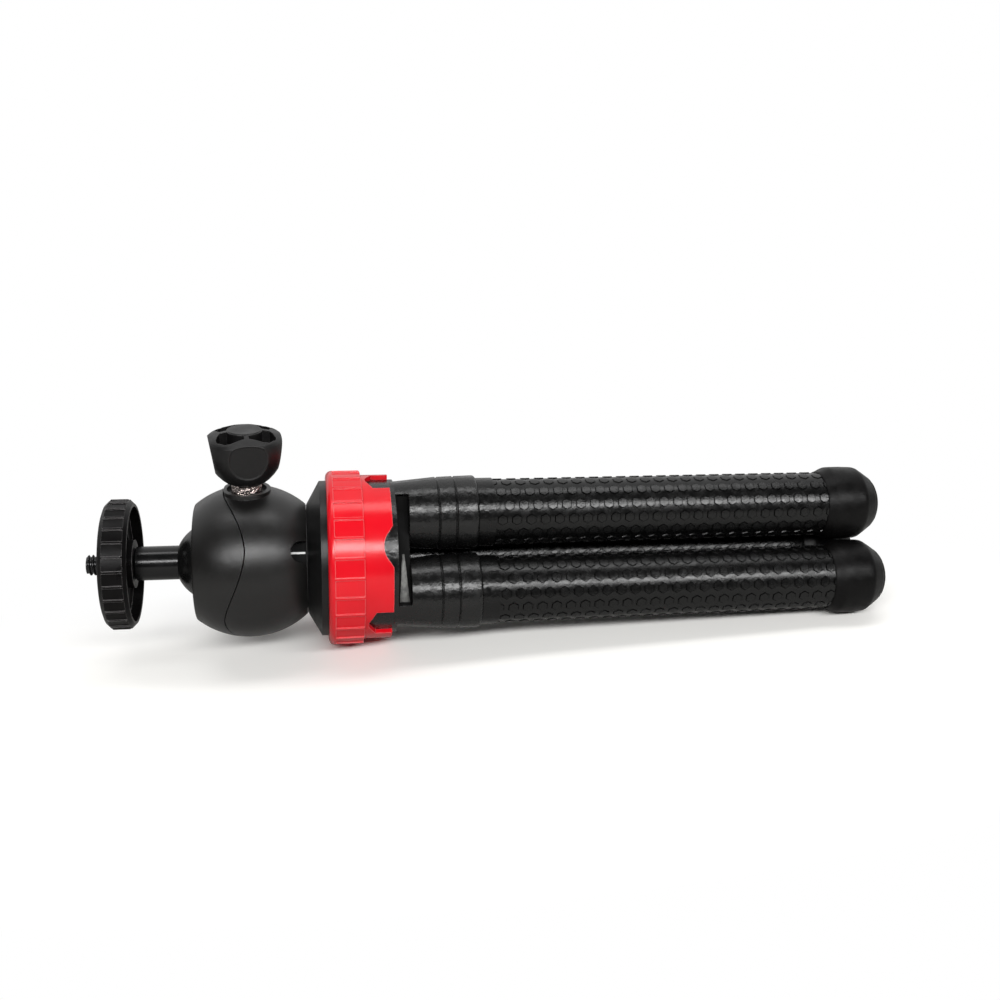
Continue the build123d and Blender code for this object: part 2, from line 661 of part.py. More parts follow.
def make_pan_joint():
    """The drum that the head turns on, its centre screw and washer, and its white index mark."""
    hub_screw_planes = [
        Plane(around(angle).location * Pos(HUB_SCREW_CIRCLE_R, 0, 0)) for angle in BETWEEN_ANGLES
    ]
    mark_front = DRUM_FRONT + SNUG_GAP
    with BuildPart() as pan_drum:
        revolve(
            half_section(
                AXIS,
                (DRUM_FRONT, PAN_SCREW_R + SNUG_GAP),
                (DRUM_FRONT, DRUM_R),
                (DRUM_SHOULDER, DRUM_R),
                (DRUM_SHOULDER, DRUM_FLANGE_R),
                (HUB_FRONT, DRUM_FLANGE_R),
                (HUB_FRONT, PAN_SCREW_R + SNUG_GAP),
            ),
            axis=spin_line(AXIS),
        )
        for line in hub_screw_planes:
            with BuildSketch(line.offset(DRUM_FRONT)):
                Circle(HUB_SCREW_HEAD_R + SNUG_GAP)
            extrude(amount=HUB_SCREW_HEAD, mode=Mode.SUBTRACT)
            with BuildSketch(line.offset(DRUM_FRONT)):
                Circle(HUB_SCREW_R + SNUG_GAP)
            extrude(amount=FAR_OUT, mode=Mode.SUBTRACT)
        with BuildSketch(outward(BETWEEN_ANGLES[0], mark_front).offset(DRUM_R - MARK_DEEP)):
            with Locations((MARK_LONG / 2, 0)):
                Rectangle(MARK_LONG + 2 * SNUG_GAP, MARK_WIDE + 2 * SNUG_GAP)
        extrude(amount=FAR_OUT, mode=Mode.SUBTRACT)
    finish(pan_drum, "pan_drum")

    with BuildPart() as pan_index_mark:
        with BuildSketch(outward(BETWEEN_ANGLES[0], mark_front).offset(DRUM_R - MARK_DEEP + SNUG_GAP)):
            with Locations((MARK_LONG / 2, 0)):
                Rectangle(MARK_LONG, MARK_WIDE)
        extrude(amount=MARK_DEEP)
    finish(pan_index_mark, "pan_index_mark")

    head_back = PARTITION_FRONT - FACE_GAP - WASHER_THICK
    with BuildPart() as pan_screw:
        revolve(
            half_section(
                AXIS,
                (head_back - PAN_SCREW_HEAD, 0),
                (head_back - PAN_SCREW_HEAD, PAN_SCREW_HEAD_R),
                (head_back, PAN_SCREW_HEAD_R),
                (head_back, PAN_SCREW_R),
                (DRUM_FRONT + PAN_SCREW_IN_DRUM, PAN_SCREW_R),
                (DRUM_FRONT + PAN_SCREW_IN_DRUM, 0),
            ),
            axis=spin_line(AXIS),
        )
        with BuildSketch(AXIS.offset(head_back - PAN_SCREW_HEAD)):
            RegularPolygon(PAN_SCREW_KEY / 2, 6, major_radius=False)
        extrude(amount=PAN_SCREW_KEY_DEEP, mode=Mode.SUBTRACT)
    finish(pan_screw, "pan_screw")

    with BuildPart() as pan_washer:
        revolve(
            tube(AXIS, head_back + SNUG_GAP, head_back + WASHER_THICK, WASHER_R, PAN_SCREW_R + SHAFT_GAP),
            axis=spin_line(AXIS),
        )
    finish(pan_washer, "pan_washer")

    with BuildPart() as hub_screws:
        for line in hub_screw_planes:
            revolve(
                half_section(
                    line,
                    (DRUM_FRONT + SNUG_GAP, 0),
                    (DRUM_FRONT + SNUG_GAP, HUB_SCREW_HEAD_R),
                    (DRUM_FRONT + HUB_SCREW_HEAD, HUB_SCREW_HEAD_R),
                    (DRUM_FRONT + HUB_SCREW_HEAD, HUB_SCREW_R),
                    (DRUM_FRONT + HUB_SCREW_LENGTH, HUB_SCREW_R),
                    (DRUM_FRONT + HUB_SCREW_LENGTH, 0),
                ),
                axis=spin_line(line),
            )
    finish(hub_screws, "hub_screws")


def make_shoulder_cap():
    """The black cone between the housing's neck and the red collar ring."""
    with BuildPart() as shoulder_cap:
        revolve(
            half_section(
                AXIS,
                (CONE_FRONT, DRUM_R + SNUG_GAP),
                (CONE_FRONT, CONE_FRONT_R),
                (CONE_END, HUB_R),
                (SPIGOT_END - SNUG_GAP, HUB_R),
                (SPIGOT_END - SNUG_GAP, SPIGOT_R + SNUG_GAP),
                (HUB_FRONT, SPIGOT_R + SNUG_GAP),
                (HUB_FRONT, DRUM_FLANGE_R + SNUG_GAP),
                (DRUM_SHOULDER - SNUG_GAP, DRUM_FLANGE_R + SNUG_GAP),
                (DRUM_SHOULDER - SNUG_GAP, DRUM_R + SNUG_GAP),
            ),
            axis=spin_line(AXIS),
        )
    finish(shoulder_cap, "shoulder_cap")


def make_collar_ring():
    """The red ring: a knurled band and a skirt cut out over each leg and notched between them."""
    inner = HUB_R + SNUG_GAP
    panel_start = RING_FRONT + PANEL_FROM_FRONT
    panel_cut = RING_R - SKIRT_R
    cutout_half = SKIRT_R * sin(radians(CUTOUT_HALF_ANGLE))
    cutout_tip = SKIRT_R * sin(radians(CUTOUT_TIP_HALF_ANGLE))
    notch_middle = TAB_NOTCH_R - TAB_NOTCH_DEEP
    with BuildPart() as collar_ring:
        revolve(
            tube(AXIS, RING_FRONT, BAND_END, RING_R, inner),
            axis=spin_line(AXIS),
        )
        outer_edges = collar_ring.edges().filter_by(GeomType.CIRCLE).sort_by(SortBy.RADIUS)[-2:]
        front_edge, back_edge = outer_edges.sort_by(spin_line(AXIS))
        fillet(front_edge, RING_NOSE_FILLET)
        back_edge = (
            collar_ring.edges().filter_by(GeomType.CIRCLE).group_by(spin_line(AXIS))[-1].sort_by(SortBy.RADIUS)[-1]
        )
        fillet(back_edge, RING_EDGE_FILLET)
        with BuildSketch(AXIS.offset(panel_start)):
            Circle(RING_R + panel_cut)
            Circle(RING_R - PANEL_DEPTH, mode=Mode.SUBTRACT)
            with PolarLocations(RING_R, RING_PANELS, start_angle=RING_RIB_TURN):
                Rectangle(4 * panel_cut, RING_RIB_WIDTH, mode=Mode.SUBTRACT)
        extrude(amount=BAND_WIDTH, mode=Mode.SUBTRACT)
        revolve(
            tube(AXIS, BAND_END, SKIRT_END, SKIRT_R, inner),
            axis=spin_line(AXIS),
        )
        for angle in LEG_ANGLES:
            with BuildSketch(outward(angle, SKIRT_END)):
                with BuildLine():
                    Polyline(
                        (SKIRT_LENGTH, -cutout_half),
                        (-CUTOUT_STRAIGHT, -cutout_half),
                        (-CUTOUT_DEEP, -cutout_tip),
                        (-CUTOUT_DEEP, cutout_tip),
                        (-CUTOUT_STRAIGHT, cutout_half),
                        (SKIRT_LENGTH, cutout_half),
                        close=True,
                    )
                make_face()
            extrude(amount=FAR_OUT, mode=Mode.SUBTRACT)
        for angle in BETWEEN_ANGLES:
            with BuildSketch(outward(angle, SKIRT_END)):
                with BuildLine():
                    ThreePointArc(
                        (-TAB_NOTCH_THROAT_DEEP, -TAB_NOTCH_THROAT),
                        (notch_middle - TAB_NOTCH_R, 0),
                        (-TAB_NOTCH_THROAT_DEEP, TAB_NOTCH_THROAT),
                    )
                    Polyline(
                        (-TAB_NOTCH_THROAT_DEEP, TAB_NOTCH_THROAT),
                        (SNUG_GAP, TAB_NOTCH_MOUTH),
                        (SNUG_GAP, -TAB_NOTCH_MOUTH),
                        (-TAB_NOTCH_THROAT_DEEP, -TAB_NOTCH_THROAT),
                    )
                make_face()
            extrude(amount=FAR_OUT, mode=Mode.SUBTRACT)
    finish(collar_ring, "collar_ring")


def socket_section(leg):
    """The half section of a leg socket: a taper with two shallow grooves round it."""
    corners = [(HUB_END - 1, 0), (HUB_END - 1, SOCKET_ROOT_R), (HUB_END, SOCKET_ROOT_R)]
    groove_radii = (SOCKET_MID_R, (SOCKET_MID_R + SOCKET_END_R) / 2)
    for distance, radius in zip(SOCKET_GROOVES, groove_radii):
        groove = HUB_END + distance
        corners.append((groove - GROOVE_HALF, radius))
        corners.append((groove, radius - GROOVE_DEEP))
        corners.append((groove + GROOVE_HALF, radius))
    corners.append((SOCKET_END, SOCKET_END_R))
    corners.append((SOCKET_END, 0))
    return half_section(leg, *corners)


def make_hub():
    """The moulded hub: a round flange that carries the three leg sockets."""
    slot_half_width = SLOT_HALF - SLOT_RIB / 2
    slot_middle = SLOT_RIB / 2 + slot_half_width / 2
    with BuildPart() as hub:
        revolve(
            half_section(
                AXIS,
                (HUB_FRONT + SNUG_GAP, 0),
                (HUB_FRONT + SNUG_GAP, SPIGOT_R),
                (SPIGOT_END, SPIGOT_R),
                (SPIGOT_END, HUB_R),
                (HUB_END, HUB_R),
                (HUB_END, 0),
            ),
            axis=spin_line(AXIS),
        )
        for angle in LEG_ANGLES:
            leg = leg_plane(angle)
            revolve(socket_section(leg), axis=spin_line(leg))
        socket_ends = hub.edges().filter_by(GeomType.CIRCLE).group_by(spin_line(AXIS))[-1]
        fillet(socket_ends, SOCKET_FILLET)
        for angle in BETWEEN_ANGLES:
            middle = outward(angle, (HUB_END + SLOT_END) / 2)
            with BuildSketch(middle.offset(SLOT_FLOOR)):
                with Locations((0, slot_middle), (0, -slot_middle)):
                    Rectangle(SLOT_WIDE, slot_half_width)
            extrude(amount=FAR_OUT, mode=Mode.SUBTRACT)
            with BuildSketch(middle):
                Rectangle(SLOT_WIDE, SLOT_RIB)
            extrude(amount=SLOT_RIB_TOP)
            line = Plane(around(angle).location * Pos(HUB_SCREW_CIRCLE_R, 0, 0))
            with BuildSketch(line):
                Circle(HUB_SCREW_R + SNUG_GAP)
            extrude(amount=DRUM_FRONT + HUB_SCREW_LENGTH + SNUG_GAP, mode=Mode.SUBTRACT)
        for angle in LEG_ANGLES:
            with BuildSketch(leg_plane(angle).offset(CORE_ANCHOR - SNUG_GAP)):
                Circle(CORE_R + SNUG_GAP)
            extrude(amount=FAR_OUT, mode=Mode.SUBTRACT)
    finish(hub, "hub")


def make_sleeve(leg, letter, index):
    """One stretch of a leg's rubber sleeve: round-ended where it bends on the one before."""
    first = index == 0
    last = index == BENDS
    start = COLLAR_END if first else PIVOTS[index - 1]
    end = FOOT_START if last else PIVOTS[index] - CUP_RIM
    notch = radians(BEND_LIMIT / 2 + BEND_SPARE)
    bore_start = start if first else start - CORE_IN_JOINT
    with BuildPart() as sleeve:
        with BuildSketch(leg.offset(start)):
            Circle(SLEEVE_R)
        extrude(amount=end - start)
        if not first:
            pivot = leg.offset(start)
            lean = Plane(
                pivot.origin, x_dir=leg.y_dir, z_dir=leg.z_dir * cos(notch) - leg.x_dir * sin(notch)
            )
            split(bisect_by=lean, keep=Keep.TOP)
            with Locations(pivot):
                Sphere(SLEEVE_R)
        if not last:
            pivot = leg.offset(PIVOTS[index])
            lean = Plane(
                pivot.origin, x_dir=leg.y_dir, z_dir=leg.z_dir * cos(notch) + leg.x_dir * sin(notch)
            )
            split(bisect_by=lean, keep=Keep.BOTTOM)
            with Locations(pivot):
                Sphere(SLEEVE_R + RUN_GAP, mode=Mode.SUBTRACT)
        with BuildSketch(leg.offset(bore_start - SNUG_GAP)):
            Circle(CORE_R + SNUG_GAP)
        extrude(amount=end - bore_start + CUP_RIM, mode=Mode.SUBTRACT)
    finish(sleeve, f"sleeve_{letter}_{index}")


def make_core(leg, letter, index):
    """One stretch of the stiff wire that holds a leg's bend."""
    first = index == 0
    last = index == BENDS
    start = CORE_ANCHOR if first else PIVOTS[index - 1] - CORE_IN_JOINT
    end = FOOT_START + BOOT_LENGTH - SOLE_SPIGOT - PLUG_GAP if last else PIVOTS[index] - SLEEVE_R - RUN_GAP
    with BuildPart() as core:
        with BuildSketch(leg.offset(start)):
            Circle(CORE_R)
        extrude(amount=end - start)
    finish(core, f"core_{letter}_{index}")


def make_foot(leg, letter):
    """A foot: the rubber boot, the metal plug that holds it to the wire, and the sole."""
    belly_centre = FOOT_R - FOOT_BELLY_ARC_R
    belly_edge = belly_centre + sqrt(FOOT_BELLY_ARC_R**2 - FOOT_BELLY_HALF**2)
    belly_start = FOOT_BELLY - FOOT_BELLY_HALF
    boot = leg.offset(FOOT_START)
    spigot_front = BOOT_LENGTH - SOLE_SPIGOT
    sole_front = BOOT_LENGTH + SOLE_SEAM
    with BuildPart() as foot:
        with BuildSketch(side(boot)):
            with BuildLine():
                Line((0, 0), (0, FOOT_START_R))
                Line((0, FOOT_START_R), (belly_start, belly_edge))
                ThreePointArc(
                    (belly_start, belly_edge), (FOOT_BELLY, FOOT_R), (BOOT_LENGTH, belly_edge)
                )
                Polyline(
                    (BOOT_LENGTH, belly_edge),
                    (BOOT_LENGTH, SOLE_SPIGOT_R + SNUG_GAP),
                    (spigot_front - SNUG_GAP, SOLE_SPIGOT_R + SNUG_GAP),
                    (spigot_front - SNUG_GAP, PLUG_R + SNUG_GAP),
                    (PLUG_IN_FOOT - SNUG_GAP, PLUG_R + SNUG_GAP),
                    (PLUG_IN_FOOT - SNUG_GAP, 0),
                    (0, 0),
                )
            make_face()
        revolve(axis=spin_line(boot))
        with BuildSketch(boot):
            Circle(CORE_R + SNUG_GAP)
        extrude(amount=BOOT_LENGTH, mode=Mode.SUBTRACT)
    finish(foot, f"foot_{letter}")

    with BuildPart() as foot_plug:
        revolve(
            tube(boot, PLUG_IN_FOOT, spigot_front - PLUG_GAP, PLUG_R, CORE_R + SNUG_GAP),
            axis=spin_line(boot),
        )
    finish(foot_plug, f"foot_plug_{letter}")

    with BuildPart() as foot_sole:
        with BuildSketch(side(boot)):
            with BuildLine():
                ThreePointArc(
                    (sole_front, belly_edge - SOLE_SEAM),
                    (FOOT_LENGTH - SOLE_MID_FROM_END, SOLE_MID_R),
                    (FOOT_LENGTH, SOLE_FLAT_R),
                )
                Polyline(
                    (FOOT_LENGTH, SOLE_FLAT_R),
                    (FOOT_LENGTH, 0),
                    (spigot_front, 0),
                    (spigot_front, SOLE_SPIGOT_R),
                    (sole_front, SOLE_SPIGOT_R),
                    (sole_front, belly_edge - SOLE_SEAM),
                )
            make_face()
        revolve(axis=spin_line(boot))
    finish(foot_sole, f"foot_sole_{letter}")


def make_leg(angle, letter):
    """A whole leg: collar, sleeve and wire in stretches between the bends, and its foot."""
    leg = leg_plane(angle)
    with BuildPart() as leg_collar:
        revolve(
            tube(leg, SOCKET_END + SNUG_GAP, COLLAR_END - SNUG_GAP, COLLAR_R, CORE_R + SNUG_GAP),
            axis=spin_line(leg),
        )
    finish(leg_collar, f"leg_collar_{letter}")
    for index in range(BENDS + 1):
        make_sleeve(leg, letter, index)
        make_core(leg, letter, index)
    make_foot(leg, letter)


def report_frame():
    """Print where the axis lies and where its joints and mounts are, in metres."""
    print(f"tilt {degrees(TILT):.4f} deg, neck at x {NECK_X:.4f} z {NECK_HEIGHT:.4f}")
    print("along", [round(v, 7) for v in AHEAD], "up", [round(v, 7) for v in UP])
    for name, station in (("pan", 0.0), ("ball", BALL), ("disc", DISC_BACK), ("knob", KNOB)):
        print(name, [round(v / 1000, 7) for v in AXIS.offset(station).origin])
    print("screw middle", [round(v / 1000, 7) for v in AXIS.offset((SCREW_TIP + DISC_FRONT) / 2).origin])
    print("pad face", [round(v / 1000, 7) for v in AXIS.offset(DISC_FRONT - PAD_PROUD).origin])
    for angle, letter in zip(LEG_ANGLES, LEG_LETTERS):
        leg = leg_plane(angle)
        print("leg", letter, "hinge axis", [round(v, 7) for v in leg.y_dir])
        for station in PIVOTS + [FOOT_END]:
            print("   ", round(station, 2), [round(v / 1000, 7) for v in leg.offset(station).origin])


make_camera_stud()
make_locking_disc()
make_stem_and_ball()
seat_rim = make_ball_seat()
make_housing()
make_clamp(seat_rim)
make_knob()
make_pan_joint()
make_shoulder_cap()
make_collar_ring()
make_hub()
for leg_angle, leg_letter in zip(LEG_ANGLES, LEG_LETTERS):
    make_leg(leg_angle, leg_letter)
report_frame()
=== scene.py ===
"""Looks for the folded mini tripod: finishes, rubber sleeves, screw thread, light and camera."""
import logging
from collections.abc import Sequence
from dataclasses import dataclass, field
from enum import Enum
from math import copysign, cos, pi, radians, sin, sqrt

import bpy
from mathutils import Matrix, Vector


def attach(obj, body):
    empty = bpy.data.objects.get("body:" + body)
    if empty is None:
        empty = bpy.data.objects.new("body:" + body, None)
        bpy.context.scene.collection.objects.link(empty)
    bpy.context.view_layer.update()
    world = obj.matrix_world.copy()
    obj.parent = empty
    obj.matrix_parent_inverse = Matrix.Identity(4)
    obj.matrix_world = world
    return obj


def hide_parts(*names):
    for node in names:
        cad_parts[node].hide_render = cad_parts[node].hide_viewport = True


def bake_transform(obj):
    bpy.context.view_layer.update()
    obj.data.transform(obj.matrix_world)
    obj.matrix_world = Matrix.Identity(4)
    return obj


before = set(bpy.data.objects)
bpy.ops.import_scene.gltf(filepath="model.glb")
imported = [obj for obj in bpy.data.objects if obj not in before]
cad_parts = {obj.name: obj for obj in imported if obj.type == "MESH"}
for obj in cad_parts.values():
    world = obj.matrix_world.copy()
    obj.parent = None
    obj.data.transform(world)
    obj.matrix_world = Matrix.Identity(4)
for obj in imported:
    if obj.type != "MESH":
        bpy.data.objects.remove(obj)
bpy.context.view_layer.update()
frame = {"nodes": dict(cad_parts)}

Piece = bpy.types.Object
Tree = bpy.types.NodeTree
Socket = bpy.types.NodeSocket
Span = tuple[float, float]
Triple = tuple[float, float, float]
Shade = tuple[float, float, float, float]
Outline = tuple[Span, ...]

LOG = logging.getLogger("tripod")
# One millimetre, in metres.
MM = 0.001
FULL_TURN = 2.0 * pi
# How near two points are when they count as one, in millimetres: in cells, and in spun outlines.
TOUCHING = 0.01
SPIN_TOUCHING = 0.001
# Where a Mix node takes two numbers, and where it takes two colours and gives the mixed one.
NUMBER_A, NUMBER_B = 2, 3
COLOUR_A, COLOUR_B, COLOUR_OUT = 6, 7, 2


@dataclass(frozen=True)
class TripodLine:
    """The tripod's own axis: it starts at the housing's neck and dips towards the feet.

    Distances along it and away from it are in millimetres, as on the drawing. The neck is in
    metres, and each leg has its angle round the axis in degrees.
    """

    dip: float = radians(2.8821)
    neck: Triple = (-0.0622683, 0.0, 0.0283014)
    to_viewer: Triple = (0.0, -1.0, 0.0)
    leg_circle: float = 14.301
    legs: tuple[tuple[str, float], ...] = (("a", 0.0), ("b", 120.0), ("c", 240.0))

    def ahead(self) -> Vector:
        """The direction from the camera screw towards the feet."""
        return Vector((cos(self.dip), 0.0, -sin(self.dip)))

    def up(self) -> Vector:
        """The direction square to the axis that points away from the floor."""
        return Vector((sin(self.dip), 0.0, cos(self.dip)))

    def outwards(self, angle: float) -> Vector:
        """The direction away from the axis at an angle: 0 degrees on top, 90 at the viewer."""
        return self.up() * cos(radians(angle)) + Vector(self.to_viewer) * sin(radians(angle))

    def point(self, angle: float, radius: float, station: float) -> Vector:
        """A point at an angle in degrees, a distance from the axis and a station along it."""
        away = self.outwards(angle) * radius + self.ahead() * station
        return Vector(self.neck) + away * MM

    @staticmethod
    def _turned_to(x_axis: Vector, z_axis: Vector, place: Vector) -> Matrix:
        """The matrix that takes a piece to a place and turns it.

        Args:
            x_axis: where the piece's own X points.
            z_axis: where its own Z points.
            place: where its origin goes, in metres.

        Returns:
            The matrix.
        """
        turn = Matrix((x_axis, z_axis.cross(x_axis), z_axis)).transposed().to_4x4()
        return Matrix.Translation(place) @ turn

    def placing(self, angle: float = 0.0, radius: float = 0.0, station: float = 0.0) -> Matrix:
        """The matrix that lays a piece along this line.

        Args:
            angle: where the piece's own X points, in degrees round the axis.
            radius: how far the piece's own Z lies from the axis, in millimetres.
            station: how far along the axis the piece's origin is, in millimetres.

        Returns:
            A matrix whose X points outwards and whose Z points towards the feet.
        """
        place = self.point(angle, radius, station)
        return self._turned_to(self.outwards(angle), self.ahead(), place)

    def standing(self, station: float) -> Matrix:
        """The matrix of a piece that stands up from the axis.

        Args:
            station: how far along the axis it stands, in millimetres.

        Returns:
            A matrix whose X points towards the viewer and whose Z points up.
        """
        return self._turned_to(Vector(self.to_viewer), self.up(), self.point(0.0, 0.0, station))


LINE = TripodLine()


def mixed(tree: Tree, share: Socket, first: Shade | Socket, second: Shade) -> Socket:
    """Mixes two colours.

    Args:
        tree: the node tree of the material.
        share: how much of the second colour shows, from 0 to 1.
        first: the first colour, or the socket that it comes from.
        second: the second colour.

    Returns:
        The mixed colour.
    """
    mix = tree.nodes.new("ShaderNodeMix")
    mix.data_type = "RGBA"
    tree.links.new(share, mix.inputs[0])
    if isinstance(first, Socket):
        tree.links.new(first, mix.inputs[COLOUR_A])
    else:
        mix.inputs[COLOUR_A].default_value = first
    mix.inputs[COLOUR_B].default_value = second
    return mix.outputs[COLOUR_OUT]


def ranged(tree: Tree, value: Socket, out: Span, taken: Span = (0.3, 0.7),
           smooth: bool = False) -> Socket:
    """Takes a value from one range to another, and holds it at the range's ends.

    Args:
        tree: the node tree.
        value: what comes in.
        out: what comes out at the start and at the end of what is taken.
        taken: the values in at which those two come out.
        smooth: whether it eases in and out instead of following a straight line.

    Returns:
        The value that comes out.
    """
    ranging = tree.nodes.new("ShaderNodeMapRange")
    ranging.interpolation_type = "SMOOTHSTEP" if smooth else "LINEAR"
    names = ("From Min", "From Max", "To Min", "To Max")
    for name, number in zip(names, (*taken, *out)):
        ranging.inputs[name].default_value = number
    tree.links.new(value, ranging.inputs["Value"])
    return ranging.outputs["Result"]


class Grain(Enum):
    """How a surface's fine relief was made: how many finer layers it has, and how it is drawn out.

    The second value says how much finer the relief is along each of the tripod's own axes.
    """

    MOULDED = (2.0, (1.0, 1.0, 1.0))
    RUBBER = (4.0, (1.0, 1.0, 1.0))
    TURNED = (3.0, (1.0, 0.02, 0.02))
    DRAWN = (3.0, (0.03, 1.0, 1.0))


@dataclass(frozen=True)
class Finish:
    """One finish: a colour, how it shines and the fine relief that the real one shows.

    The mottle is a slow change of colour, the patches are a slow change of gloss, and dust says
    how much of its colour shows at most. The edge colour is a painted highlight: it says how much
    of a light colour shows at most along rounded edges, in place of the lamps' glint on them.
    """

    name: str
    colour: Triple
    grain: Grain
    roughness: float
    metallic: float = 0.0
    shine: float = 0.5
    mottle: float = 0.18
    mottle_mm: float = 4.0
    mottle_detail: float = 3.0
    patchiness: float = 0.10
    patch_mm: float = 6.0
    patch_detail: float = 4.0
    smoothest: float = 0.04
    relief: float = 0.12
    relief_mm: float = 0.22
    edge_mm: float = 0.0
    edge_samples: int = 6
    dust: float = 0.0
    dust_mm: float = 0.35
    dust_detail: float = 5.0
    dust_from: Span = (0.60, 0.75)
    dust_colour: Triple = (0.22, 0.21, 0.20)
    # Painted highlight: a light colour laid along rounded edges, in place of the lamps' glint on
    # them.
    edge_glint: float = 0.0
    edge_glint_from: Span = (0.80, 0.97)
    edge_glint_colour: Triple = (0.25, 0.24, 0.24)

    def _noise(self, tree: Tree, size_mm: float, detail: float,
               stretch: Triple = (1.0, 1.0, 1.0)) -> Socket:
        """Cloudy noise in the piece's own coordinates, turned in line with the tripod.

        Args:
            tree: the material's node tree.
            size_mm: how large its blotches are.
            detail: how many finer layers it has.
            stretch: how much finer it is along each axis.

        Returns:
            The noise's value, from 0 to 1.
        """
        placing = tree.nodes.new("ShaderNodeMapping")
        placing.inputs["Rotation"].default_value = (0.0, -LINE.dip, 0.0)
        placing.inputs["Scale"].default_value = stretch
        source = tree.nodes.new("ShaderNodeTexCoord").outputs["Object"]
        tree.links.new(source, placing.inputs["Vector"])
        noise = tree.nodes.new("ShaderNodeTexNoise")
        noise.inputs["Scale"].default_value = 1.0 / (size_mm * MM)
        noise.inputs["Detail"].default_value = detail
        tree.links.new(placing.outputs["Vector"], noise.inputs["Vector"])
        return noise.outputs["Fac"]

    def _tint(self, strength: float) -> Shade:
        """The colour at another strength, with nothing brighter than white."""
        return (*(min(part * strength, 1.0) for part in self.colour), 1.0)

    def _mottled(self, tree: Tree) -> Socket:
        """The colour with its mottle and, where the finish gathers it, its dust.

        Args:
            tree: the material's node tree.

        Returns:
            The colour.
        """
        cloud = ranged(tree, self._noise(tree, self.mottle_mm, self.mottle_detail), (0.0, 1.0))
        shown = mixed(tree, cloud, self._tint(1.0 - self.mottle), self._tint(1.0 + self.mottle))
        if self.dust > 0.0:
            specks = self._noise(tree, self.dust_mm, self.dust_detail)
            share = ranged(tree, specks, (0.0, self.dust), self.dust_from)
            shown = mixed(tree, share, shown, (*self.dust_colour, 1.0))
        return shown

    def _rounded(self, tree: Tree) -> Socket:
        """Which way the surface faces when its sharp edges are rounded off.

        Args:
            tree: the material's node tree.

        Returns:
            The direction.
        """
        rounding = tree.nodes.new("ShaderNodeBevel")
        rounding.samples = self.edge_samples
        rounding.inputs["Radius"].default_value = self.edge_mm * MM
        return rounding.outputs["Normal"]

    def _painted_glint_share(self, tree: Tree, facing: Socket) -> Socket:
        """How much of the painted edge highlight shows: the most where the rounding turns the
        surface.

        Args:
            tree: the material's node tree.
            facing: which way the rounded surface faces.

        Returns:
            The share of the painted highlight colour.
        """
        likeness = tree.nodes.new("ShaderNodeVectorMath")
        likeness.operation = "DOT_PRODUCT"
        sharp = tree.nodes.new("ShaderNodeNewGeometry").outputs["Normal"]
        tree.links.new(facing, likeness.inputs[0])
        tree.links.new(sharp, likeness.inputs[1])
        return ranged(tree, likeness.outputs["Value"], (self.edge_glint, 0.0), self.edge_glint_from)

    def material(self) -> bpy.types.Material:
        """The finish as a material, made on the first call and found again after that.

        Returns:
            The material.
        """
        found = bpy.data.materials.get(self.name)
        if found:
            return found
        made = bpy.data.materials.new(self.name)
        made.use_nodes = True
        made.diffuse_color = (*self.colour, 1.0)
        tree = made.node_tree
        skin = tree.nodes["Principled BSDF"]
        skin.inputs["Metallic"].default_value = self.metallic
        skin.inputs["Specular IOR Level"].default_value = self.shine

        patches = self._noise(tree, self.patch_mm, self.patch_detail)
        low = max(self.roughness - self.patchiness, self.smoothest)
        high = min(self.roughness + self.patchiness, 1.0)
        tree.links.new(ranged(tree, patches, (low, high)), skin.inputs["Roughness"])

        shown = self._mottled(tree)
        bump = tree.nodes.new("ShaderNodeBump")
        bump.inputs["Strength"].default_value = self.relief
        bump.inputs["Distance"].default_value = self.relief_mm * MM
        height = self._noise(tree, self.relief_mm, *self.grain.value)
        tree.links.new(height, bump.inputs["Height"])
        if self.edge_mm > 0.0:
            facing = self._rounded(tree)
            tree.links.new(facing, bump.inputs["Normal"])
            # Painted highlight: a light colour along rounded edges stands in for the lamps' glint
            # on them.
            if self.edge_glint > 0.0:
                share = self._painted_glint_share(tree, facing)
                shown = mixed(tree, share, shown, (*self.edge_glint_colour, 1.0))
        tree.links.new(shown, skin.inputs["Base Color"])
        tree.links.new(bump.outputs["Normal"], skin.inputs["Normal"])
        return made


BLACKED = Finish("blacked_steel", (0.030, 0.030, 0.031), Grain.TURNED, 0.30, metallic=0.6,
                 mottle=0.20, relief=0.10, relief_mm=0.10)
ZINC = Finish("zinc_plated_steel", (0.50, 0.50, 0.51), Grain.TURNED, 0.30, metallic=1.0,
              mottle=0.10, relief=0.10, relief_mm=0.10)
# Its edge colour is a painted highlight: light lines along the ridges in place of the lamps' glint.
DISC = Finish("disc_black_anodised", (0.0030, 0.0027, 0.0028), Grain.MOULDED, 0.34, shine=0.12,
              mottle=0.25, relief=0.10, relief_mm=0.16, edge_mm=0.30, dust=0.03, edge_glint=0.8)
STEM = Finish("stem_gloss_black", (0.005, 0.005, 0.0052), Grain.TURNED, 0.20, shine=0.38,
              mottle=0.2, relief=0.03, relief_mm=0.15, patchiness=0.05, patch_mm=2.0)
BALL = Finish("ball_satin_black", (0.004, 0.004, 0.004), Grain.TURNED, 0.30, shine=0.45,
              mottle=0.2, relief=0.05, relief_mm=0.14)
STAY = Finish("brushed_steel", (0.13, 0.13, 0.125), Grain.TURNED, 0.48, metallic=0.8, mottle=0.40,
              mottle_mm=1.2, relief=0.30, relief_mm=0.20)
PAD = Finish("pad_rubber", (0.012, 0.012, 0.012), Grain.RUBBER, 0.72, mottle=0.25, relief=0.25,
             relief_mm=0.2)
HOUSING = Finish("housing_matt_black", (0.0066, 0.0062, 0.0060), Grain.MOULDED, 0.32, mottle=0.12,
                 mottle_mm=9.0, patchiness=0.04, relief=0.20, relief_mm=0.16, edge_mm=0.30)
